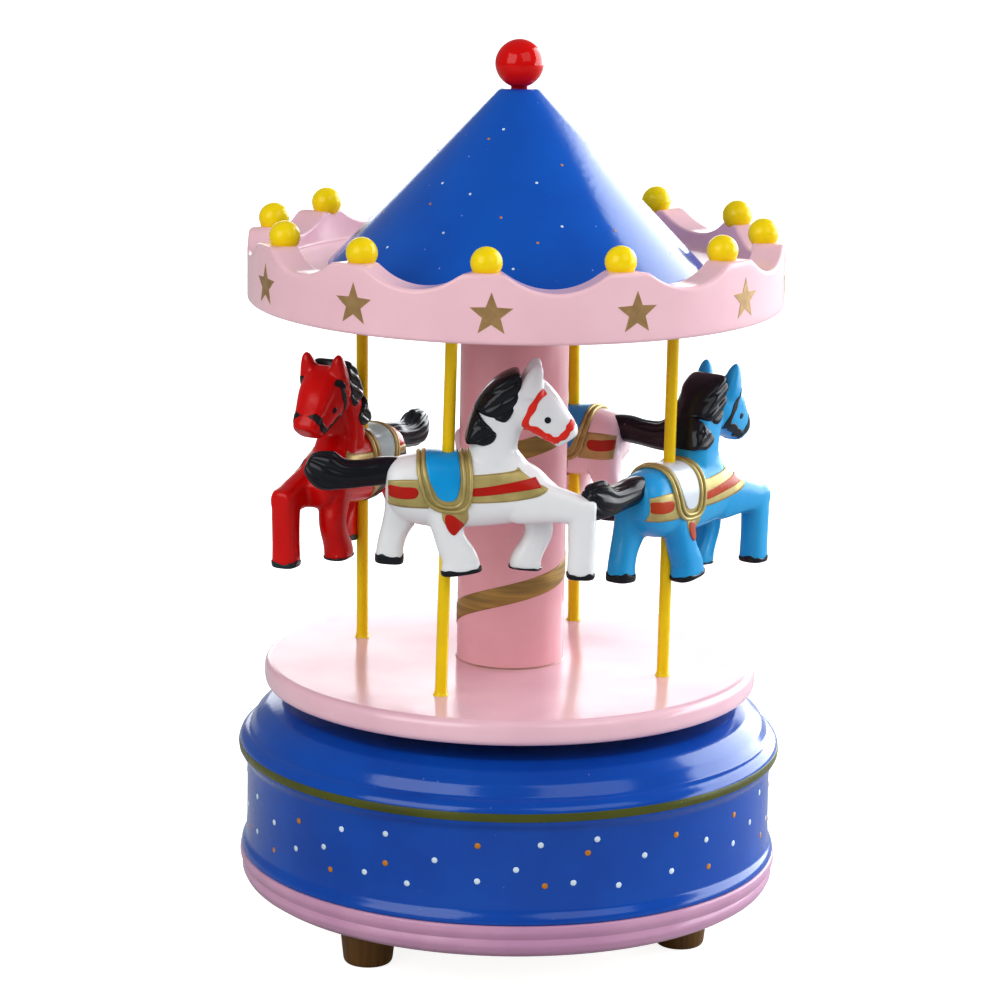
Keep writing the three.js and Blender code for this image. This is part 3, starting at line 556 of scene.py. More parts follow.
glue_outline = (
    (COLUMN_R - 0.2, DECK_TOP - 0.05), (COLUMN_R + 0.30, DECK_TOP - 0.05),
    (COLUMN_R + 0.10, DECK_TOP + 0.22), (COLUMN_R - 0.2, DECK_TOP + 0.42),
)
glue = stitched(
    "column_glue",
    [turned(rounded(glue_outline, 0.1), 128)],
    lacquer("dried_glue", GLUE_BROWN, COLUMN_PINK_DEEP, rough=0.35, dust=0.0, peel=0.4),
)
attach(glue, "carousel")

# ---- Crown ----
# A thick wooden disc, sprayed pink, with a recess for the roof. Twelve hollows are cut across
# its rim, and on each peak between them sits a ball. Gold stars are printed on the outer face
# below the balls.
CROWN_R = 53.4
CROWN_PEAK = 143.7
CROWN_VALLEY = 140.2
CROWN_FLOOR = 137.4
CROWN_RECESS_R = 47
SCALLOP_R = 15.2
BALL_COUNT = 12
BALL_ANGLE = -6.5
CROWN_EDGE = 0.75
EDGE_SOFTNESS = 0.55
CROWN_PINK = (0.86, 0.56, 0.62, 1)
CROWN_PINK_DEEP = (0.81, 0.51, 0.575, 1)
STAR_R = 4.3
STAR_Z = 136.2
STAR_SHIFT = 1.7  # degrees past each ball
STAR_LIFT = 0.07
STAR_GOLD = (0.42, 0.27, 0.12, 1)
STAR_GOLD_DARK = (0.33, 0.21, 0.09, 1)

crown_turn = np.radians(np.linspace(0, 360, BALL_COUNT * 28 + 1))
edge_step = np.linspace(0, np.pi / 2, 6)


def crown_top(radius):
    """The rim's height at a radius: the lower of the level peak and the hollow's round floor,
    which rises with the distance across the hollow. The two meet in a softened edge."""
    pitch = 2 * np.pi / BALL_COUNT
    from_hollow = (crown_turn - math.radians(BALL_ANGLE)) % pitch - pitch / 2
    across = np.minimum(np.abs(radius * np.sin(from_hollow)), SCALLOP_R * 0.98)
    floor = CROWN_VALLEY + SCALLOP_R - np.sqrt(SCALLOP_R**2 - across**2)
    above = np.maximum(EDGE_SOFTNESS - np.abs(floor - CROWN_PEAK), 0) / EDGE_SOFTNESS
    return np.minimum(floor, CROWN_PEAK) - above**2 * EDGE_SOFTNESS / 4


def crown_row(radius, height):
    """One ring of the crown. The height is a number or one height for each angle."""
    height = height + 0 * crown_turn
    return np.stack([radius * np.sin(crown_turn), -radius * np.cos(crown_turn), height], -1)


crown_rows = [
    crown_row(0, CROWN_BOTTOM), crown_row(20, CROWN_BOTTOM), crown_row(40, CROWN_BOTTOM),
    crown_row(CROWN_R - CROWN_EDGE - 0.3, CROWN_BOTTOM),
]
crown_rows += [
    crown_row(
        CROWN_R - CROWN_EDGE * (1 - math.sin(a)),
        CROWN_BOTTOM + CROWN_EDGE * (1 - math.cos(a)),
    )
    for a in edge_step
]
crown_rows += [crown_row(CROWN_R, z) for z in (132.2, 134, 136, 138)]
for face_share in (0.6, 0.9, 1.0):
    rim = crown_top(CROWN_R) - CROWN_EDGE
    crown_rows.append(crown_row(CROWN_R, 138 + (rim - 138) * face_share))
for a in edge_step[1:]:
    radius = CROWN_R - CROWN_EDGE * (1 - math.cos(a))
    crown_rows.append(crown_row(radius, crown_top(radius) - CROWN_EDGE * (1 - math.sin(a))))
for radius in np.linspace(CROWN_R - CROWN_EDGE - 0.2, CROWN_RECESS_R + 0.7, 7):
    crown_rows.append(crown_row(radius, crown_top(radius)))
for a in edge_step[::-1]:
    radius = CROWN_RECESS_R + 0.5 * (1 - math.cos(a))
    crown_rows.append(crown_row(radius, crown_top(radius) - 0.5 * (1 - math.sin(a))))
crown_rows += [
    crown_row(CROWN_RECESS_R, CROWN_FLOOR + 0.5),
    crown_row(CROWN_RECESS_R - 0.15, CROWN_FLOOR + 0.15),
    crown_row(CROWN_RECESS_R - 0.5, CROWN_FLOOR), crown_row(20, CROWN_FLOOR),
    crown_row(0, CROWN_FLOOR),
]
pink_crown_lacquer = lacquer("pink_crown_lacquer", CROWN_PINK, CROWN_PINK_DEEP, dust=0.4)
crown = stitched("crown_rim", [np.array(crown_rows)], pink_crown_lacquer)
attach(crown, "carousel")
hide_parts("crown")

star_turn = np.radians(np.linspace(0, 360, 61))
star_edge = np.abs((np.degrees(star_turn) + 36) % 72 - 36)
STAR_NOTCH = 0.42
star_reach = STAR_R * STAR_NOTCH * math.sin(math.radians(36)) / (
    np.sin(np.radians(star_edge)) + STAR_NOTCH * np.sin(np.radians(36 - star_edge))
)
star_share = np.array([0, 0.5, 0.97, 1.0, 1.0, 0])[None, :, None]
star_rise = np.array([1, 1, 1, 0.4, -3, -3])[None, :, None] * STAR_LIFT
star_middle = np.radians(BALL_ANGLE + STAR_SHIFT + 30 * np.arange(BALL_COUNT))[:, None, None]
star_angle = star_middle + star_share * star_reach * np.sin(star_turn) / CROWN_R
star_radius = CROWN_R + star_rise + 0 * star_angle
star_grid = np.stack(
    [
        star_radius * np.sin(star_angle),
        -star_radius * np.cos(star_angle),
        STAR_Z + star_share * star_reach * np.cos(star_turn) + 0 * star_angle,
    ],
    -1,
)
stars = stitched(
    "crown_stars", [star_grid], foil("gold_print", STAR_GOLD, STAR_GOLD_DARK, (500.0,) * 3), False
)
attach(stars, "carousel")

# ---- Crown balls ----
# Turned wooden beads, dipped in yellow paint. A short spigot under each is glued into the
# crown's peak.
BALL_R = 3.05
BALL_RING_R = 48.9
BALL_Z = 145.3
YELLOW = (0.90, 0.69, 0.003, 1)
YELLOW_DEEP = (0.84, 0.61, 0.002, 1)


def bead_outline(radius, middle, neck, foot, steps=15):
    """A round bead on a short spigot, as radius and height from the foot up to the top."""
    start = math.asin(neck / radius)
    swing = np.linspace(start, np.pi, steps)
    ball = np.stack([radius * np.sin(swing), middle - radius * np.cos(swing)], 1)
    return np.concatenate([[(0, foot), (neck, foot)], ball])


yellow_dip = lacquer("yellow_dip", YELLOW, YELLOW_DEEP, rough=0.2, dust=0.25, peel=0.12)
for ball_number in range(BALL_COUNT):
    ball_angle = math.radians(BALL_ANGLE + 30 * ball_number)
    ball_place = np.array([math.sin(ball_angle), -math.cos(ball_angle), 0]) * BALL_RING_R
    ball_grid = turned(bead_outline(BALL_R, BALL_Z, 0.9, BALL_Z - BALL_R - 0.6), 32) + ball_place
    ball = stitched(f"bead_{ball_number + 1}", [ball_grid], yellow_dip)
    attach(ball, "carousel")
    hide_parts(f"crown_ball_{ball_number + 1}")

# ---- Roof and finial ----
# A solid turned cone, sprayed blue and spattered with white and orange dots, is glued into
# the crown's recess. A red wooden bead sits on its cut-off tip.
ROOF_OUTLINE = ((0, 137.4), (37.6, 137.4), (3.8, 172.6), (0, 172.6))
ROOF_SLOPE = math.atan2(172.6 - 137.4, 37.6 - 3.8)
ROOF_WHITE = (
    (-16, 165.6), (-46, 155.4), (-25, 154.1), (11, 156.4), (-30, 147.2), (19, 148.9),
    (-52, 143.5), (-1, 141.8),
)
ROOF_BLUE = (0.0012, 0.105, 0.50, 1)
ROOF_BLUE_DEEP = (0.001, 0.085, 0.44, 1)
ROOF_ORANGE = ((-28, 163.8), (31, 159.3), (-45, 151.7), (-7, 150.4), (43, 147.6), (8, 146.2))
ROOF_DOT_R = 0.30
FINIAL_R = 4.8
FINIAL_Z = 177.5
RED = (0.66, 0.003, 0.002, 1)
RED_DEEP = (0.56, 0.002, 0.0015, 1)
roof = stitched(
    "roof_cone_turned",
    [turned(rounded(ROOF_OUTLINE, 0.6, loop=False))],
    lacquer("blue_roof_lacquer", ROOF_BLUE, ROOF_BLUE_DEEP, rings=0.2, dust=0.9, shine=0.55),
)
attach(roof, "carousel")
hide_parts("roof_cone")


def roof_places(dots):
    """Places on the cone from an angle in degrees and a height, repeated at three quarters."""
    angle, height = np.asarray(dots, float).T
    angle = np.radians(np.concatenate([angle, angle + 118, angle + 241]))
    height = np.concatenate([height, height - 1.3, height + 0.8])
    radius = 3.8 + (172.6 - height) / math.tan(ROOF_SLOPE)
    level = np.stack([np.sin(angle), -np.cos(angle), 0 * angle], -1)
    upright = np.tile([0.0, 0.0, 1.0], (len(angle), 1))
    across = np.stack([np.cos(angle), np.sin(angle), 0 * angle], -1)
    centre = level * radius[:, None] + upright * height[:, None]
    along = upright * math.sin(ROOF_SLOPE) - level * math.cos(ROOF_SLOPE)
    outward = level * math.sin(ROOF_SLOPE) + upright * math.cos(ROOF_SLOPE)
    return centre, across, along, outward


for dots_name, dots, dots_paint in (
    ("roof_dots_white", ROOF_WHITE, "dots_white_paint"),
    ("roof_dots_orange", ROOF_ORANGE, "dots_orange_paint"),
):
    roof_dots = stitched(
        dots_name, [spots(roof_places(dots), ROOF_DOT_R, 0.07)], bpy.data.materials[dots_paint]
    )
    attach(roof_dots, "carousel")

finial = stitched(
    "finial_bead",
    [turned(bead_outline(FINIAL_R, FINIAL_Z, 1.6, 172.2, 28), 64)],
    lacquer("red_dip", RED, RED_DEEP, rough=0.1, dust=0.15, peel=0.04),
)
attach(finial, "carousel")
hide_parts("finial_ball")

# ---- Poles ----
# Four thin dowels, painted yellow. They are glued into the deck and the crown, which sits a
# little further round, so the poles lean. Paint has gathered in a small collar at each foot.
POLE_R = 1.18
POLE_RING_R = 33.4
POLE_ANGLE = -23.6
POLE_TWIST = 2.4
POLE_SINK = 3.5
POLE_YELLOW = (0.82, 0.58, 0.003, 1)
POLE_YELLOW_DEEP = (0.72, 0.47, 0.002, 1)


def ring_point(radius, degrees, height):
    """A point at an angle round the main axis, from the front towards the right."""
    angle = math.radians(degrees)
    return np.array([radius * math.sin(angle), -radius * math.cos(angle), height])


def pole_point(number, height):
    """The pole's own axis at a height: a straight line from its foot to its head."""
    foot_end = ring_point(POLE_RING_R, POLE_ANGLE + 90 * number, DECK_TOP)
    head_end = ring_point(POLE_RING_R, POLE_ANGLE + POLE_TWIST + 90 * number, CROWN_BOTTOM)
    share = (np.asarray(height, float)[..., None] - DECK_TOP) / (CROWN_BOTTOM - DECK_TOP)
    return foot_end + share * (head_end - foot_end)


pole_paint = lacquer("pole_paint", POLE_YELLOW, POLE_YELLOW_DEEP, rough=0.24, dust=0.2, peel=0.15)
circle = np.linspace(0, 2 * np.pi, 25)
pole_height = np.concatenate(
    [
        [DECK_TOP - POLE_SINK],
        np.linspace(DECK_TOP - 0.2, DECK_TOP + 2.5, 12),
        np.linspace(DECK_TOP + 8, CROWN_BOTTOM - 1.2, 14),
        np.linspace(CROWN_BOTTOM - 0.9, CROWN_BOTTOM + 0.2, 5),
        [CROWN_BOTTOM + POLE_SINK],
    ]
)
pole_swell = (
    POLE_R
    + 0.42 * np.exp(-((pole_height - DECK_TOP).clip(0) / 0.5))
    + 0.18 * np.exp(-((CROWN_BOTTOM - pole_height).clip(0) / 0.4))
)
pole_swell[[0, -1]] = POLE_R
for pole_number in range(4):
    axis = pole_point(pole_number, pole_height)
    ring = np.stack([np.cos(circle), np.sin(circle), 0 * circle], -1)
    pole_grid = axis[:, None] + pole_swell[:, None, None] * ring
    pole_grid = np.concatenate(
        [axis[:1, None] + 0 * ring, pole_grid, axis[-1:, None] + 0 * ring]
    )
    pole = stitched(f"pole_{pole_number + 1}_dowel", [pole_grid], pole_paint)
    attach(pole, "carousel")
    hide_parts(f"pole_{pole_number + 1}")

# ---- Horses ----
# Four horses from one mould, in white, blue, pale pink and red plastic, pushed onto the
# poles. Mane, tail, hooves, saddle, straps and bridle are part of the moulding and are
# painted by hand.
HORSE_MID = 43.0
LIMB_TURNS = 40
BODY_VOXEL = 0.34
BODY_SMOOTH = 12
LIMB_POWER = 2.5
LEG_POWER = 2.8
HEAD_POWER = 3.0
LEG_BLUNT = 12
HOOF_REACH = 0.35


def limb_rows(stations, t):
    """A smooth row of numbers at t, where t runs from 0 to 1 along the stations: the cubic
    through the four nearest stations."""
    rows = np.asarray(stations, float)
    last = len(rows) - 1
    place = np.clip(np.asarray(t, float), 0, 1) * last
    first = np.minimum(place.astype(int), last - 1)
    s = (place - first)[..., None]
    before = rows[np.maximum(first - 1, 0)]
    here, there = rows[first], rows[first + 1]
    beyond = rows[np.minimum(first + 2, last)]
    return 0.5 * (
        2 * here
        + (there - before) * s
        + (2 * before - 5 * here + 4 * there - beyond) * s**2
        + (3 * here - before - 3 * there + beyond) * s**3
    )


def limb_skin(stations, t, turn, swell=1.0, lift=0.0, power=LIMB_POWER):
    """The skin of a limb. A station is x, y, z of the limb's middle, its half depth in the
    horse's upright plane and its half width. The section at t is an ellipse with squarer
    corners: |depth|^power + |width|^power = 1. Turn 0 is the upper or front side."""
    row = limb_rows(stations, t)
    step = limb_rows(stations, t + 0.01) - limb_rows(stations, t - 0.01)
    length = np.hypot(step[..., 0], step[..., 2])
    depth_axis = np.stack([-step[..., 2], 0 * length, step[..., 0]], -1) / length[..., None]
    width_axis = np.array([0.0, 1.0, 0.0])
    flat = 2 / power
    depth = np.sign(np.cos(turn)) * np.abs(np.cos(turn)) ** flat
    width = np.sign(np.sin(turn)) * np.abs(np.sin(turn)) ** flat
    return (
        row[..., :3]
        + ((row[..., 3] * swell + lift) * depth)[..., None] * depth_axis
        + ((row[..., 4] * swell + lift) * width)[..., None] * width_axis
    )


def limb(stations, rows=36, blunt=8, power=LIMB_POWER, furrow=0.0, furrows=9):
    """A closed limb. The section shrinks to nothing at both ends as (1 - |2t-1|^blunt) to the
    power 1/blunt. Furrows along the limb deepen towards its far end."""
    swing = np.linspace(0, np.pi, rows)
    t = (0.5 - 0.5 * np.cos(swing))[:, None]
    swell = np.maximum(1 - np.abs(2 * t - 1) ** blunt, 0) ** (1 / blunt)
    turn = np.linspace(0, 2 * np.pi, LIMB_TURNS * (2 if furrow else 1) + 1)[None, :]
    swell = swell * (1 - furrow * t**2 * (0.5 + 0.5 * np.cos(furrows * turn + 3.0 * t)) ** 2)
    return limb_skin(stations, t + 0 * turn, turn + 0 * t, swell, power=power)


TORSO = (
    (-11.9, 0, 42.6, 4.2, 4.3), (-9.4, 0, 42.4, 5.7, 5.1), (-5.2, 0, 41.6, 7.1, 5.5),
    (0.0, 0, 41.2, 7.2, 5.5), (5.0, 0, 41.4, 7.3, 5.5), (10.0, 0, 41.4, 6.9, 5.5),
    (14.5, 0, 40.8, 5.9, 5.4), (18.5, 0, 39.4, 4.3, 5.2), (22.0, 0, 38.4, 3.2, 4.8),
)
NECK = (
    (11.0, 0, 40.5, 7.0, 5.0), (9.7, 0, 45.0, 6.0, 4.7), (8.8, 0, 49.0, 4.7, 4.3),
    (9.3, 0, 53.5, 4.8, 4.1), (11.0, 0, 58.0, 5.0, 4.0), (13.4, 0, 62.4, 3.6, 4.0),
)
HEAD = (
    (12.6, 0, 61.2, 4.2, 4.2), (15.0, 0, 59.3, 4.9, 4.5), (17.6, 0, 57.0, 4.7, 4.3),
    (20.0, 0, 54.8, 3.9, 3.7), (21.9, 0, 53.0, 3.2, 3.2), (23.1, 0, 51.2, 2.7, 2.9),
)
NEAR_ARM = (
    (12.0, -2.5, 39.4, 4.4, 2.8), (17.0, -2.7, 39.5, 4.2, 2.8), (21.5, -2.9, 38.9, 3.4, 2.7),
    (25.0, -3.1, 38.2, 2.9, 2.6), (28.7, -3.1, 37.8, 2.5, 2.5),
)
NEAR_FORELEG = (
    (25.9, -3.1, 40.2, 2.7, 2.55), (26.1, -3.1, 36.0, 2.7, 2.6), (26.1, -3.1, 32.0, 2.6, 2.55),
    (26.0, -3.1, 28.4, 2.6, 2.55), (25.9, -3.1, 24.6, 2.75, 2.65),
)
NEAR_HIND_LEG = (
    (-0.8, -2.6, 39.6, 4.2, 2.8), (0.0, -2.9, 34.6, 3.1, 2.7), (0.9, -3.1, 31.4, 3.0, 2.55),
    (2.4, -3.1, 28.4, 3.5, 2.55), (2.9, -3.1, 25.4, 4.1, 2.65),
)
FAR_HIND_LEG = (
    (-7.8, 2.6, 40.6, 4.2, 2.8), (-8.8, 2.9, 36.0, 3.4, 2.7), (-10.1, 3.1, 32.4, 2.7, 2.5),
    (-10.9, 3.1, 29.2, 2.6, 2.5), (-11.1, 3.1, 26.0, 2.8, 2.6),
)
FAR_FORELEG = (
    (15.6, 2.6, 40.0, 3.8, 2.8), (17.4, 2.9, 35.6, 2.9, 2.7), (18.0, 3.1, 32.4, 2.7, 2.5),
    (16.6, 3.1, 29.0, 2.6, 2.5), (15.6, 3.1, 26.8, 3.0, 2.6), (15.4, 3.1, 25.0, 3.3, 2.6),
)
TAIL = (
    (-6.0, 0, 45.6, 1.0, 1.2), (-9.0, 0, 45.2, 2.4, 2.3), (-12.5, 0, 44.8, 2.8, 2.6),
    (-16.0, 0, 44.3, 2.7, 2.6), (-20.0, 0, 44.1, 3.1, 2.8), (-23.6, 0, 44.9, 4.3, 2.9),
    (-27.0, 0, 46.6, 3.2, 2.3),
)
EAR_SIDES = (-3.0, 3.0)
MANE_CREST = (
    (13.3, 64.8), (10.9, 64.3), (8.5, 62.8), (6.4, 60.4), (4.9, 57.6), (5.4, 56.9),
    (7.7, 56.0), (9.6, 55.3), (11.2, 55.1), (12.7, 57.6), (13.6, 59.8), (14.0, 62.8),
)
MANE_LOBE = (
    (5.2, 57.4), (4.2, 55.4), (3.6, 53.0), (3.4, 50.9), (5.2, 50.8), (7.0, 50.5), (8.7, 51.1),
    (9.4, 52.8), (8.6, 53.9), (6.9, 55.6),
)
MANE_WIDTH = 4.5


def smooth_loop(corners, count):
    """A closed smooth line through the corners, in equal steps of the cubic between them."""
    corners = np.asarray(corners, float)
    around = np.concatenate([corners[-1:], corners, corners[:3]])
    t = (np.linspace(0, 1, count + 1) * len(corners) + 1) / (len(around) - 1)
    return limb_rows(around, t)


def lock(outline, half_width, furrow, count=96, rings=15):
    """A lock of the mane. Each ring is the outline shrunk towards its middle to a share s, at a
    side distance of half_width times (1 - s^edge) to the power 1/edge, on one side and then
    on the other. The edge number is low at the back, for a round crest, and high in front.
    The lock thins towards its crest, and slanting furrows run across it."""
    line = smooth_loop(outline, count)
    middle = line[:-1].mean(0)
    swing = np.linspace(-np.pi / 2, np.pi / 2, 2 * rings + 1)[:, None]
    share = np.cos(swing)
    ahead_of = (line[:, 0] - middle[0]) * 0.75 - (line[:, 1] - middle[1]) * 0.45
    edge = np.interp(ahead_of, (-3.0, 1.5), (2.1, 9.0))[None, :]
    side = np.sign(swing) * np.maximum(1 - share**edge, 0) ** (1 / edge)
    flat = middle + share[..., None] * (line - middle)
    wave = np.sin(2.6 * (flat[..., 1] - 0.55 * flat[..., 0]))
    ahead = (flat[..., 0] - middle[0]) * 0.75 - (flat[..., 1] - middle[1]) * 0.45
    thick = np.interp(ahead, (-6.0, -3.2), (0.62, 1.0))
    ripple = thick * (1 - furrow * (0.5 + 0.5 * wave) ** 2)
    return np.stack([flat[..., 0], side * half_width * ripple, flat[..., 1]], -1)


def ear(side):
    """An upright ear: a cone that widens to its foot and leans outwards, hollowed in front."""
    height = np.linspace(0, 1, 14)[:, None]
    turn = np.linspace(0, 2 * np.pi, 29)[None, :]
    reach = np.sqrt(np.maximum(1 - height**1.25, 0))
    hollow = 1 - 0.4 * np.exp(-((np.cos(turn) - 1) ** 2) / 0.08) * reach
    x = 15.8 + 1.3 * height + 3.0 * reach * hollow * np.cos(turn)
    y = side * (1 + 0.22 * height) + 2.2 * reach * np.sin(turn)
    z = 60.0 + 6.9 * height + 0 * turn
    grid = np.stack([x, y, z], -1)
    base = grid[:1].mean(1, keepdims=True) + 0 * grid[:1]
    return np.concatenate([base, grid])


def settled(piece):
    """The piece's points in millimetres and its triangles, once its modifiers have run."""
    bpy.context.view_layer.update()
    shape = piece.evaluated_get(bpy.context.evaluated_depsgraph_get()).to_mesh()
    points = np.empty(len(shape.vertices) * 3)
    shape.vertices.foreach_get("co", points)
    shape.calc_loop_triangles()
    corners = np.empty(len(shape.loop_triangles) * 3, np.int32)
    shape.loop_triangles.foreach_get("vertices", corners)
    return points.reshape(-1, 3) / MM, corners.reshape(-1, 3)


mould_wax = bpy.data.materials.new("mould_wax")
cast = stitched(
    "horse_cast",
    [
        limb(TORSO, 44, 6), limb(NECK, 36, 8), limb(HEAD, 36, 9, HEAD_POWER),
        limb(NEAR_ARM, 36, 8, LEG_POWER), limb(NEAR_FORELEG, 36, LEG_BLUNT, LEG_POWER),
        limb(NEAR_HIND_LEG, 36, LEG_BLUNT, LEG_POWER), limb(FAR_HIND_LEG, 36, LEG_BLUNT, LEG_POWER),
        limb(FAR_FORELEG, 40, LEG_BLUNT, LEG_POWER), ear(EAR_SIDES[0]), ear(EAR_SIDES[1]),
    ],
    mould_wax,
)
one_skin = cast.modifiers.new("one_skin", "REMESH")
one_skin.mode = "VOXEL"
one_skin.voxel_size = BODY_VOXEL * MM
soften = cast.modifiers.new("soften", "SMOOTH")
soften.factor = 0.5
soften.iterations = BODY_SMOOTH
cast_points, cast_faces = settled(cast)
bpy.data.objects.remove(cast)


def hoof(stations, t0, grow=0.13):
    """The painted end of a leg: the leg's own skin from t0 to its tip, grown a little. Its
    upper edge is uneven, as a brush leaves it."""
    share = np.linspace(0, 1, 16)[:, None]
    turn = np.linspace(0, 2 * np.pi, LIMB_TURNS + 1)[None, :]
    uneven = 0.016 * np.sin(3 * turn + stations[0][0]) + 0.010 * np.sin(7 * turn)
    start = t0 + uneven
    t = start + (1.0 - start) * np.sin(share * np.pi / 2)
    swell = np.maximum(1 - np.maximum(2 * t - 1, 0) ** LEG_BLUNT, 0) ** (1 / LEG_BLUNT)
    swell = swell * ((share > 0) & (share < 1))
    grid = limb_skin(stations, t, turn + 0 * t, swell, grow * (swell > 0), LEG_POWER)
    downwards = limb_rows(stations, 1.0)[:3] - limb_rows(stations, 0.97)[:3]
    return grid + downwards * HOOF_REACH * share[..., None]


BODY_MIDDLE_Z = 41.0


def tube(path, radius, sides=10):
    """A moulded rib: a circle carried along a closed path, square to it."""
    path = np.asarray(path, float)
    step = np.gradient(path, axis=0)
    step[0] = step[-1] = path[1] - path[-2]
    step /= np.linalg.norm(step, axis=1, keepdims=True)
    inward = np.array([0.0, 0.0, BODY_MIDDLE_Z]) - path * (0, 1, 1)
    first = inward - step * (inward * step).sum(1, keepdims=True)
    first /= np.linalg.norm(first, axis=1, keepdims=True)
    second = np.cross(step, first)
    turn = np.linspace(0, 2 * np.pi, sides + 1)[:, None]
    return path[:, None] + radius * (np.cos(turn) * first[:, None] + np.sin(turn) * second[:, None])


def torso_t(x):
    """How far along the torso a given x lies, by looking the other way along its middle."""
    steps = np.linspace(0, 1, 400)
    return np.interp(x, limb_rows(TORSO, steps)[:, 0], steps)


SADDLE_DROP = 1.93
SADDLE_SUNK = -0.9  # how far the cloth's back lies in the body
CLOTH = (3.8, 1.66)  # half length over the back, and how far down the sides it reaches
GILT_EDGE = (5.75, SADDLE_DROP)
OUTER_RIB = (5.65, SADDLE_DROP)
INNER_RIB = (4.45, 1.80)


def saddle_point(share, around, extent, lift):
    """A point on the saddle cloth. Around runs from -1, the lowest point on one side, over the
    back to 1 on the other. The half length shrinks towards both as a round U, and the U leans
    forward as it goes down."""
    half = extent[0] * np.maximum(1 - np.abs(around) ** 3.8, 0) ** (1 / 2.6)
    x = -1.35 + 2.1 * np.abs(around * extent[1] / SADDLE_DROP) ** 2.4 + share * half
    return limb_skin(TORSO, torso_t(x), around * extent[1], 1.0, lift + 0 * x)


def saddle(extent, lift, columns=17):
    """The cloth as a closed shell over the back, from its rim to a back lying in the body."""
    around = np.sin(np.linspace(-np.pi / 2, np.pi / 2, 61))[:, None]
    top = np.linspace(-1, 1, columns)
    share = np.concatenate([top, top[::-1], top[:1]])[None, :]
    height = np.repeat([lift, SADDLE_SUNK, lift], [columns, columns, 1])[None, :]
    grid = saddle_point(share, around, extent, height + 0 * around)
    ends = [np.repeat(row.mean(0)[None, None], grid.shape[1], 1) for row in (grid[0], grid[-1])]
    return np.concatenate([ends[0], grid, ends[1]])


def saddle_rib(extent, lift, radius):
    """A rib along the cloth's edge, right round over the back."""
    swing = np.linspace(0, 2 * np.pi, 241)
    ease = np.sin(swing)
    path = saddle_point(np.sign(np.round(np.cos(swing), 9)), ease, extent, lift)
    path[-1] = path[0]
    return tube(path, radius)


def strip(lower, upper, rows=60, columns=12):
    """A flat strip of paint between two lines given as x and height."""
    share = np.linspace(0, 1, rows)
    low, high = limb_rows(lower, share), limb_rows(upper, share)
    across = np.linspace(0, 1, columns)[None, :, None]
    return low[:, None] * (1 - across) + high[:, None] * across


def brushed(path, half_width, rows=70):
    """A flat brush line along a path of x and height, with an uneven width."""
    share = np.linspace(0, 1, rows)
    line = limb_rows(path, share)
    step = np.gradient(line, axis=0)
    step /= np.linalg.norm(step, axis=1, keepdims=True)
    aside = np.stack([-step[:, 1], step[:, 0]], 1)
    uneven = 1 + 0.16 * np.sin(17 * share + path[0][0]) + 0.06 * np.sin(29 * share)
    aside = aside * (half_width * uneven)[:, None]
    across = np.linspace(-1, 1, 7)[None, :, None]
    return line[:, None] + aside[:, None] * across


def daub(outline, rings=8, count=48):
    """A flat spot of paint: the outline shrunk in steps to its middle."""
    line = smooth_loop(outline, count)
    middle = line[:-1].mean(0)
    share = np.linspace(0, 1, rings)[:, None, None]
    return middle + share * (line - middle)


def cast_piece(name, points, faces, finish):
    """A piece from points in millimetres and faces that already form closed skins."""
    mesh = bpy.data.meshes.new(name)
    mesh.from_pydata((points * MM).tolist(), [], faces.tolist())
    shell = bmesh.new()
    shell.from_mesh(mesh)
    bmesh.ops.recalc_face_normals(shell, faces=shell.faces)
    shell.to_mesh(mesh)
    shell.free()
    mesh.polygons.foreach_set("use_smooth", np.full(len(mesh.polygons), True))
    mesh.materials.append(finish)
    piece = bpy.data.objects.new(name, mesh)
    bpy.context.scene.collection.objects.link(piece)
    return piece


PAINT_BODY = 0.5  # thickness of a sheet of paint, most of it under the skin
SHEET_STAND_OFF = 14  # from the middle, before a sheet is pressed on
MISSED = 10  # a point still this far out has missed the cast


def painted(sheets, lift):
    """Flat sheets of x and height, pressed onto both sides of the cast, and given a thickness
    that ends a little under its skin. What misses the cast is left out. Returns points and
    faces."""
    skin = cast_piece("cast_skin", cast_points, cast_faces, mould_wax)
    points, faces, first = [], [], 0
    for side in (-1, 1):
        stood = [
            np.stack([s[..., 0], 0 * s[..., 0] + side * SHEET_STAND_OFF, s[..., 1]], -1)
            for s in sheets
        ]
        paint = stitched("paint", stood, mould_wax)
        press = paint.modifiers.new("press", "SHRINKWRAP")
        press.target = skin
        press.wrap_method = "PROJECT"
        press.use_project_y = True
        press.use_negative_direction = side > 0
        press.use_positive_direction = side < 0
        pressed, corners = settled(paint)
        bpy.data.objects.remove(paint)
        landed = corners[(np.abs(pressed[corners, 1]) < MISSED).all(1)]
        edge_1, edge_2 = (pressed[landed[:, k]] - pressed[landed[:, 0]] for k in (1, 2))
        if np.cross(edge_1, edge_2)[:, 1].sum() * side < 0:
            landed = landed[:, ::-1]
        used, landed = np.unique(landed, return_inverse=True)
        mesh = bpy.data.meshes.new("coat_of_paint")
        mesh.from_pydata((pressed[used] * MM).tolist(), [], landed.reshape(-1, 3).tolist())
        paint = bpy.data.objects.new("coat_of_paint", mesh)
        bpy.context.scene.collection.objects.link(paint)
        body = paint.modifiers.new("body", "SOLIDIFY")
        body.thickness = PAINT_BODY * MM
        body.offset = 2 * lift / PAINT_BODY - 1
        side_points, side_faces = settled(paint)
        bpy.data.objects.remove(paint)
        points.append(side_points)
        faces.append(side_faces + first)
        first += len(side_points)
    bpy.data.objects.remove(skin)
    return np.concatenate(points), np.concatenate(faces)


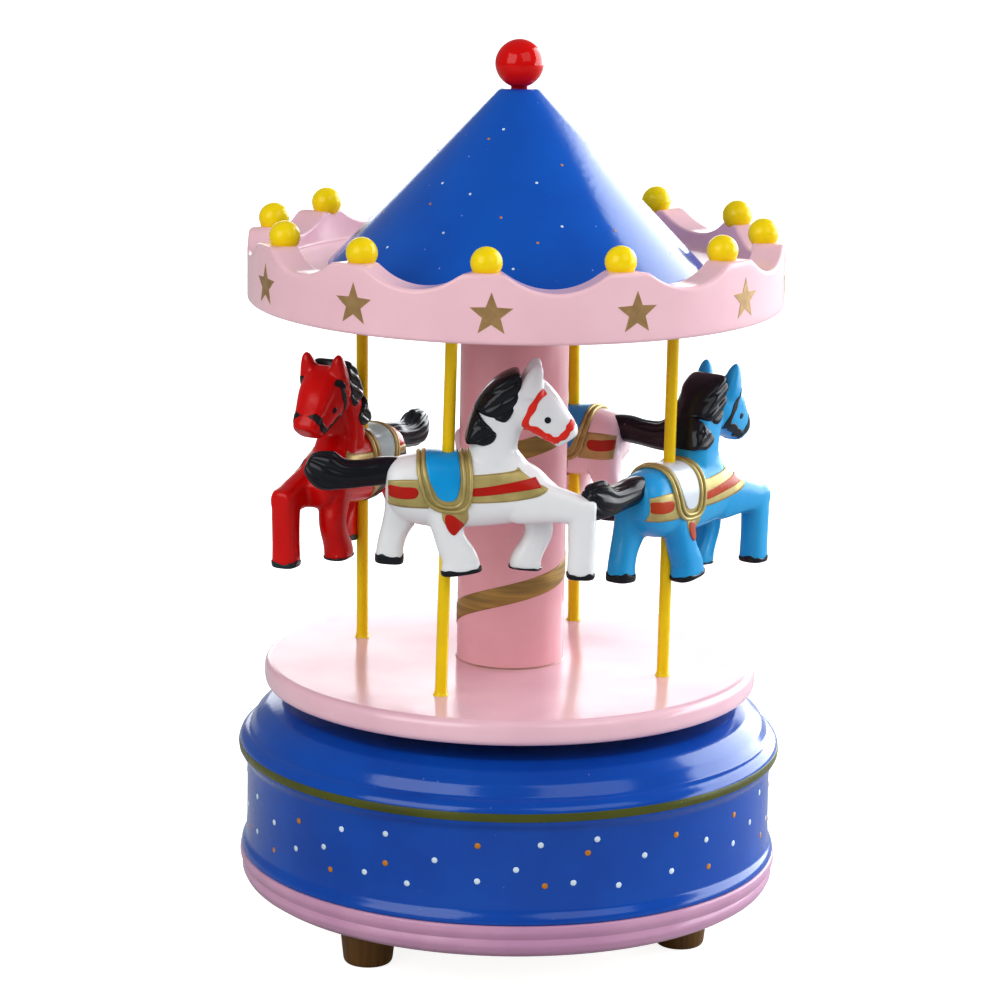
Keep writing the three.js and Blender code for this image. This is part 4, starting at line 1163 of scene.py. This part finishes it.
def placed(points, number, heading, lower):
    """Points in the horse's own frame, turned to its heading and pushed down its pole."""
    angle = math.radians(heading)
    turn = np.array(
        [[math.cos(angle), -math.sin(angle), 0], [math.sin(angle), math.cos(angle), 0], [0, 0, 1]]
    )
    seat = pole_point(number, DECK_TOP + HORSE_MID - lower)
    return np.asarray(points) @ turn.T + np.array([seat[0], seat[1], DECK_TOP - lower])


BLACK = (0.010, 0.011, 0.016, 1)
BLACK_DEEP = (0.005, 0.006, 0.009, 1)
STRAP_GOLD = (0.50, 0.41, 0.17, 1)
STRAP_GOLD_DARK = (0.38, 0.31, 0.12, 1)
STRAP_RED = (0.50, 0.012, 0.004, 1)
# Each horse: colour, heading, how much lower than the white one it sits, coat in two tones,
# hair, saddle cloth, strap bar and rein.
HORSES = (
    ("white", 2, 0.0, (0.78, 0.79, 0.80, 1), (0.70, 0.72, 0.74, 1), BLACK, (0.004, 0.36, 0.78, 1),
     STRAP_RED, (0.80, 0.03, 0.015, 1)),
    ("blue", 52, 5.2, (0.035, 0.36, 0.68, 1), (0.012, 0.29, 0.62, 1), BLACK, (0.66, 0.72, 0.80, 1),
     (0.46, 0.05, 0.010, 1), BLACK),
    ("pink", 154, 2.3, (0.86, 0.66, 0.70, 1), (0.80, 0.60, 0.64, 1), BLACK, (0.05, 0.32, 0.66, 1),
     (0.45, 0.03, 0.01, 1), STRAP_RED),
    ("red", 244, 4.3, (0.62, 0.004, 0.003, 1), (0.52, 0.003, 0.002, 1), (0.018, 0.038, 0.040, 1),
     (0.45, 0.62, 0.62, 1), (0.015, 0.05, 0.045, 1), BLACK),
)
gilding = foil("strap_gilding", STRAP_GOLD, STRAP_GOLD_DARK, (260.0, 260.0, 260.0))
eye_black = lacquer("eye_black", BLACK, BLACK_DEEP, rough=0.12, dust=0.0)

mane_sheets = [lock(MANE_CREST, MANE_WIDTH, 0.07), lock(MANE_LOBE, MANE_WIDTH + 0.1, 0.05)]
tail_sheets = [limb(TAIL, 64, 3.6, 2.2, 0.20, 8)]
hoof_sheets = [
    hoof(NEAR_FORELEG, 0.90), hoof(NEAR_HIND_LEG, 0.89), hoof(FAR_HIND_LEG, 0.84),
    hoof(FAR_FORELEG, 0.94),
]
cloth_sheets = [saddle(CLOTH, 0.40)]
gilt_sheets = [
    saddle(GILT_EDGE, 0.22), saddle_rib(OUTER_RIB, 0.22, 0.42), saddle_rib(INNER_RIB, 0.30, 0.38),
]
gilt_paint = painted(
    [
        strip(
            ((-11.3, 39.0), (-8.5, 38.7), (-3.6, 38.6)),
            ((-11.4, 43.7), (-8.5, 44.1), (-3.6, 44.2)),
        ),
        strip(
            ((3.4, 39.7), (8.0, 39.8), (12.8, 40.2), (17.0, 41.0), (19.0, 42.0)),
            ((3.4, 45.0), (6.5, 45.2), (9.5, 45.5), (12.0, 45.8), (13.6, 46.1)),
        ),
        strip(
            ((-1.1, 38.4), (-0.8, 36.2), (0.6, 34.4)),
            ((3.9, 38.4), (4.0, 36.4), (3.2, 34.8)),
            24,
        ),
        brushed(((13.2, 46.3), (14.8, 44.9), (16.8, 43.4), (19.2, 42.3)), 0.30),
    ],
    0.12,
)
bar_paint = painted(
    [
        daub(
            ((-11.2, 41.8), (-11.0, 40.8), (-8.6, 40.4), (-6.3, 40.6), (-5.6, 41.6), (-6.2, 42.6),
             (-8.6, 42.7), (-11.1, 42.9))
        ),
        strip(
            ((3.9, 41.0), (8.0, 41.3), (13.0, 42.0), (18.0, 42.7)),
            ((3.9, 42.5), (8.0, 43.0), (12.4, 43.8), (16.8, 44.6)),
        ),
        daub(
            ((-0.3, 37.3), (0.9, 37.3), (2.2, 36.3), (3.1, 35.2), (2.3, 34.3), (1.3, 33.4),
             (0.3, 34.2), (-0.4, 35.8))
        ),
    ],
    0.20,
)
bridle_paint = painted(
    [
        brushed(((18.4, 61.4), (17.2, 60.4), (15.9, 58.0), (14.8, 55.6), (14.9, 54.3)), 0.62),
        brushed(((14.6, 54.4), (16.9, 53.6), (18.8, 52.4), (20.9, 51.3)), 0.72),
        brushed(((20.6, 51.6), (22.2, 52.6), (23.2, 54.0), (24.0, 55.4)), 0.66),
    ],
    0.10,
)
eye_turn = np.linspace(0, 2 * np.pi, 13)[:-1]
eye_ring = np.stack([19.0 + 0.62 * np.cos(eye_turn), 55.8 + 0.62 * np.sin(eye_turn)], 1)
eye_paint = painted([daub(eye_ring, 5, 36)], 0.12)

PAINT_SHADE = 0.7
for number, (colour, heading, lower, coat, coat_deep, hair, cloth, bar, rein) in enumerate(HORSES):
    paints = {
        "coat": lacquer(f"{colour}_moulding", coat, coat_deep, rough=0.22, dust=0.5, peel=0.1)
    }
    for paint_name, tone, rough in (
        ("hair", hair, 0.16), ("cloth", cloth, 0.22), ("bar", bar, 0.28), ("rein", rein, 0.3)
    ):
        paints[paint_name] = lacquer(
            f"{colour}_{paint_name}_paint",
            tone,
            tuple(c * PAINT_SHADE for c in tone[:3]) + (1,),
            rough=rough,
        )
    horse = cast_piece(
        f"{colour}_horse", placed(cast_points, number, heading, lower), cast_faces, paints["coat"]
    )
    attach(horse, "carousel")
    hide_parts(f"horse_{colour}")
    for part, sheets, paint in (
        ("mane", mane_sheets, paints["hair"]),
        ("tail", tail_sheets, paints["hair"]),
        ("hooves", hoof_sheets, paints["hair"]),
        ("saddle", cloth_sheets, paints["cloth"]),
        ("saddle_gilt", gilt_sheets, gilding),
    ):
        piece = stitched(
            f"{colour}_{part}", [placed(sheet, number, heading, lower) for sheet in sheets], paint
        )
        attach(piece, "carousel")
    for part, (paint_points, paint_faces), paint in (
        ("straps", gilt_paint, gilding),
        ("bars", bar_paint, paints["bar"]),
        ("bridle", bridle_paint, paints["rein"]),
        ("eyes", eye_paint, eye_black),
    ):
        piece = cast_piece(
            f"{colour}_{part}", placed(paint_points, number, heading, lower), paint_faces, paint
        )
        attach(piece, "carousel")
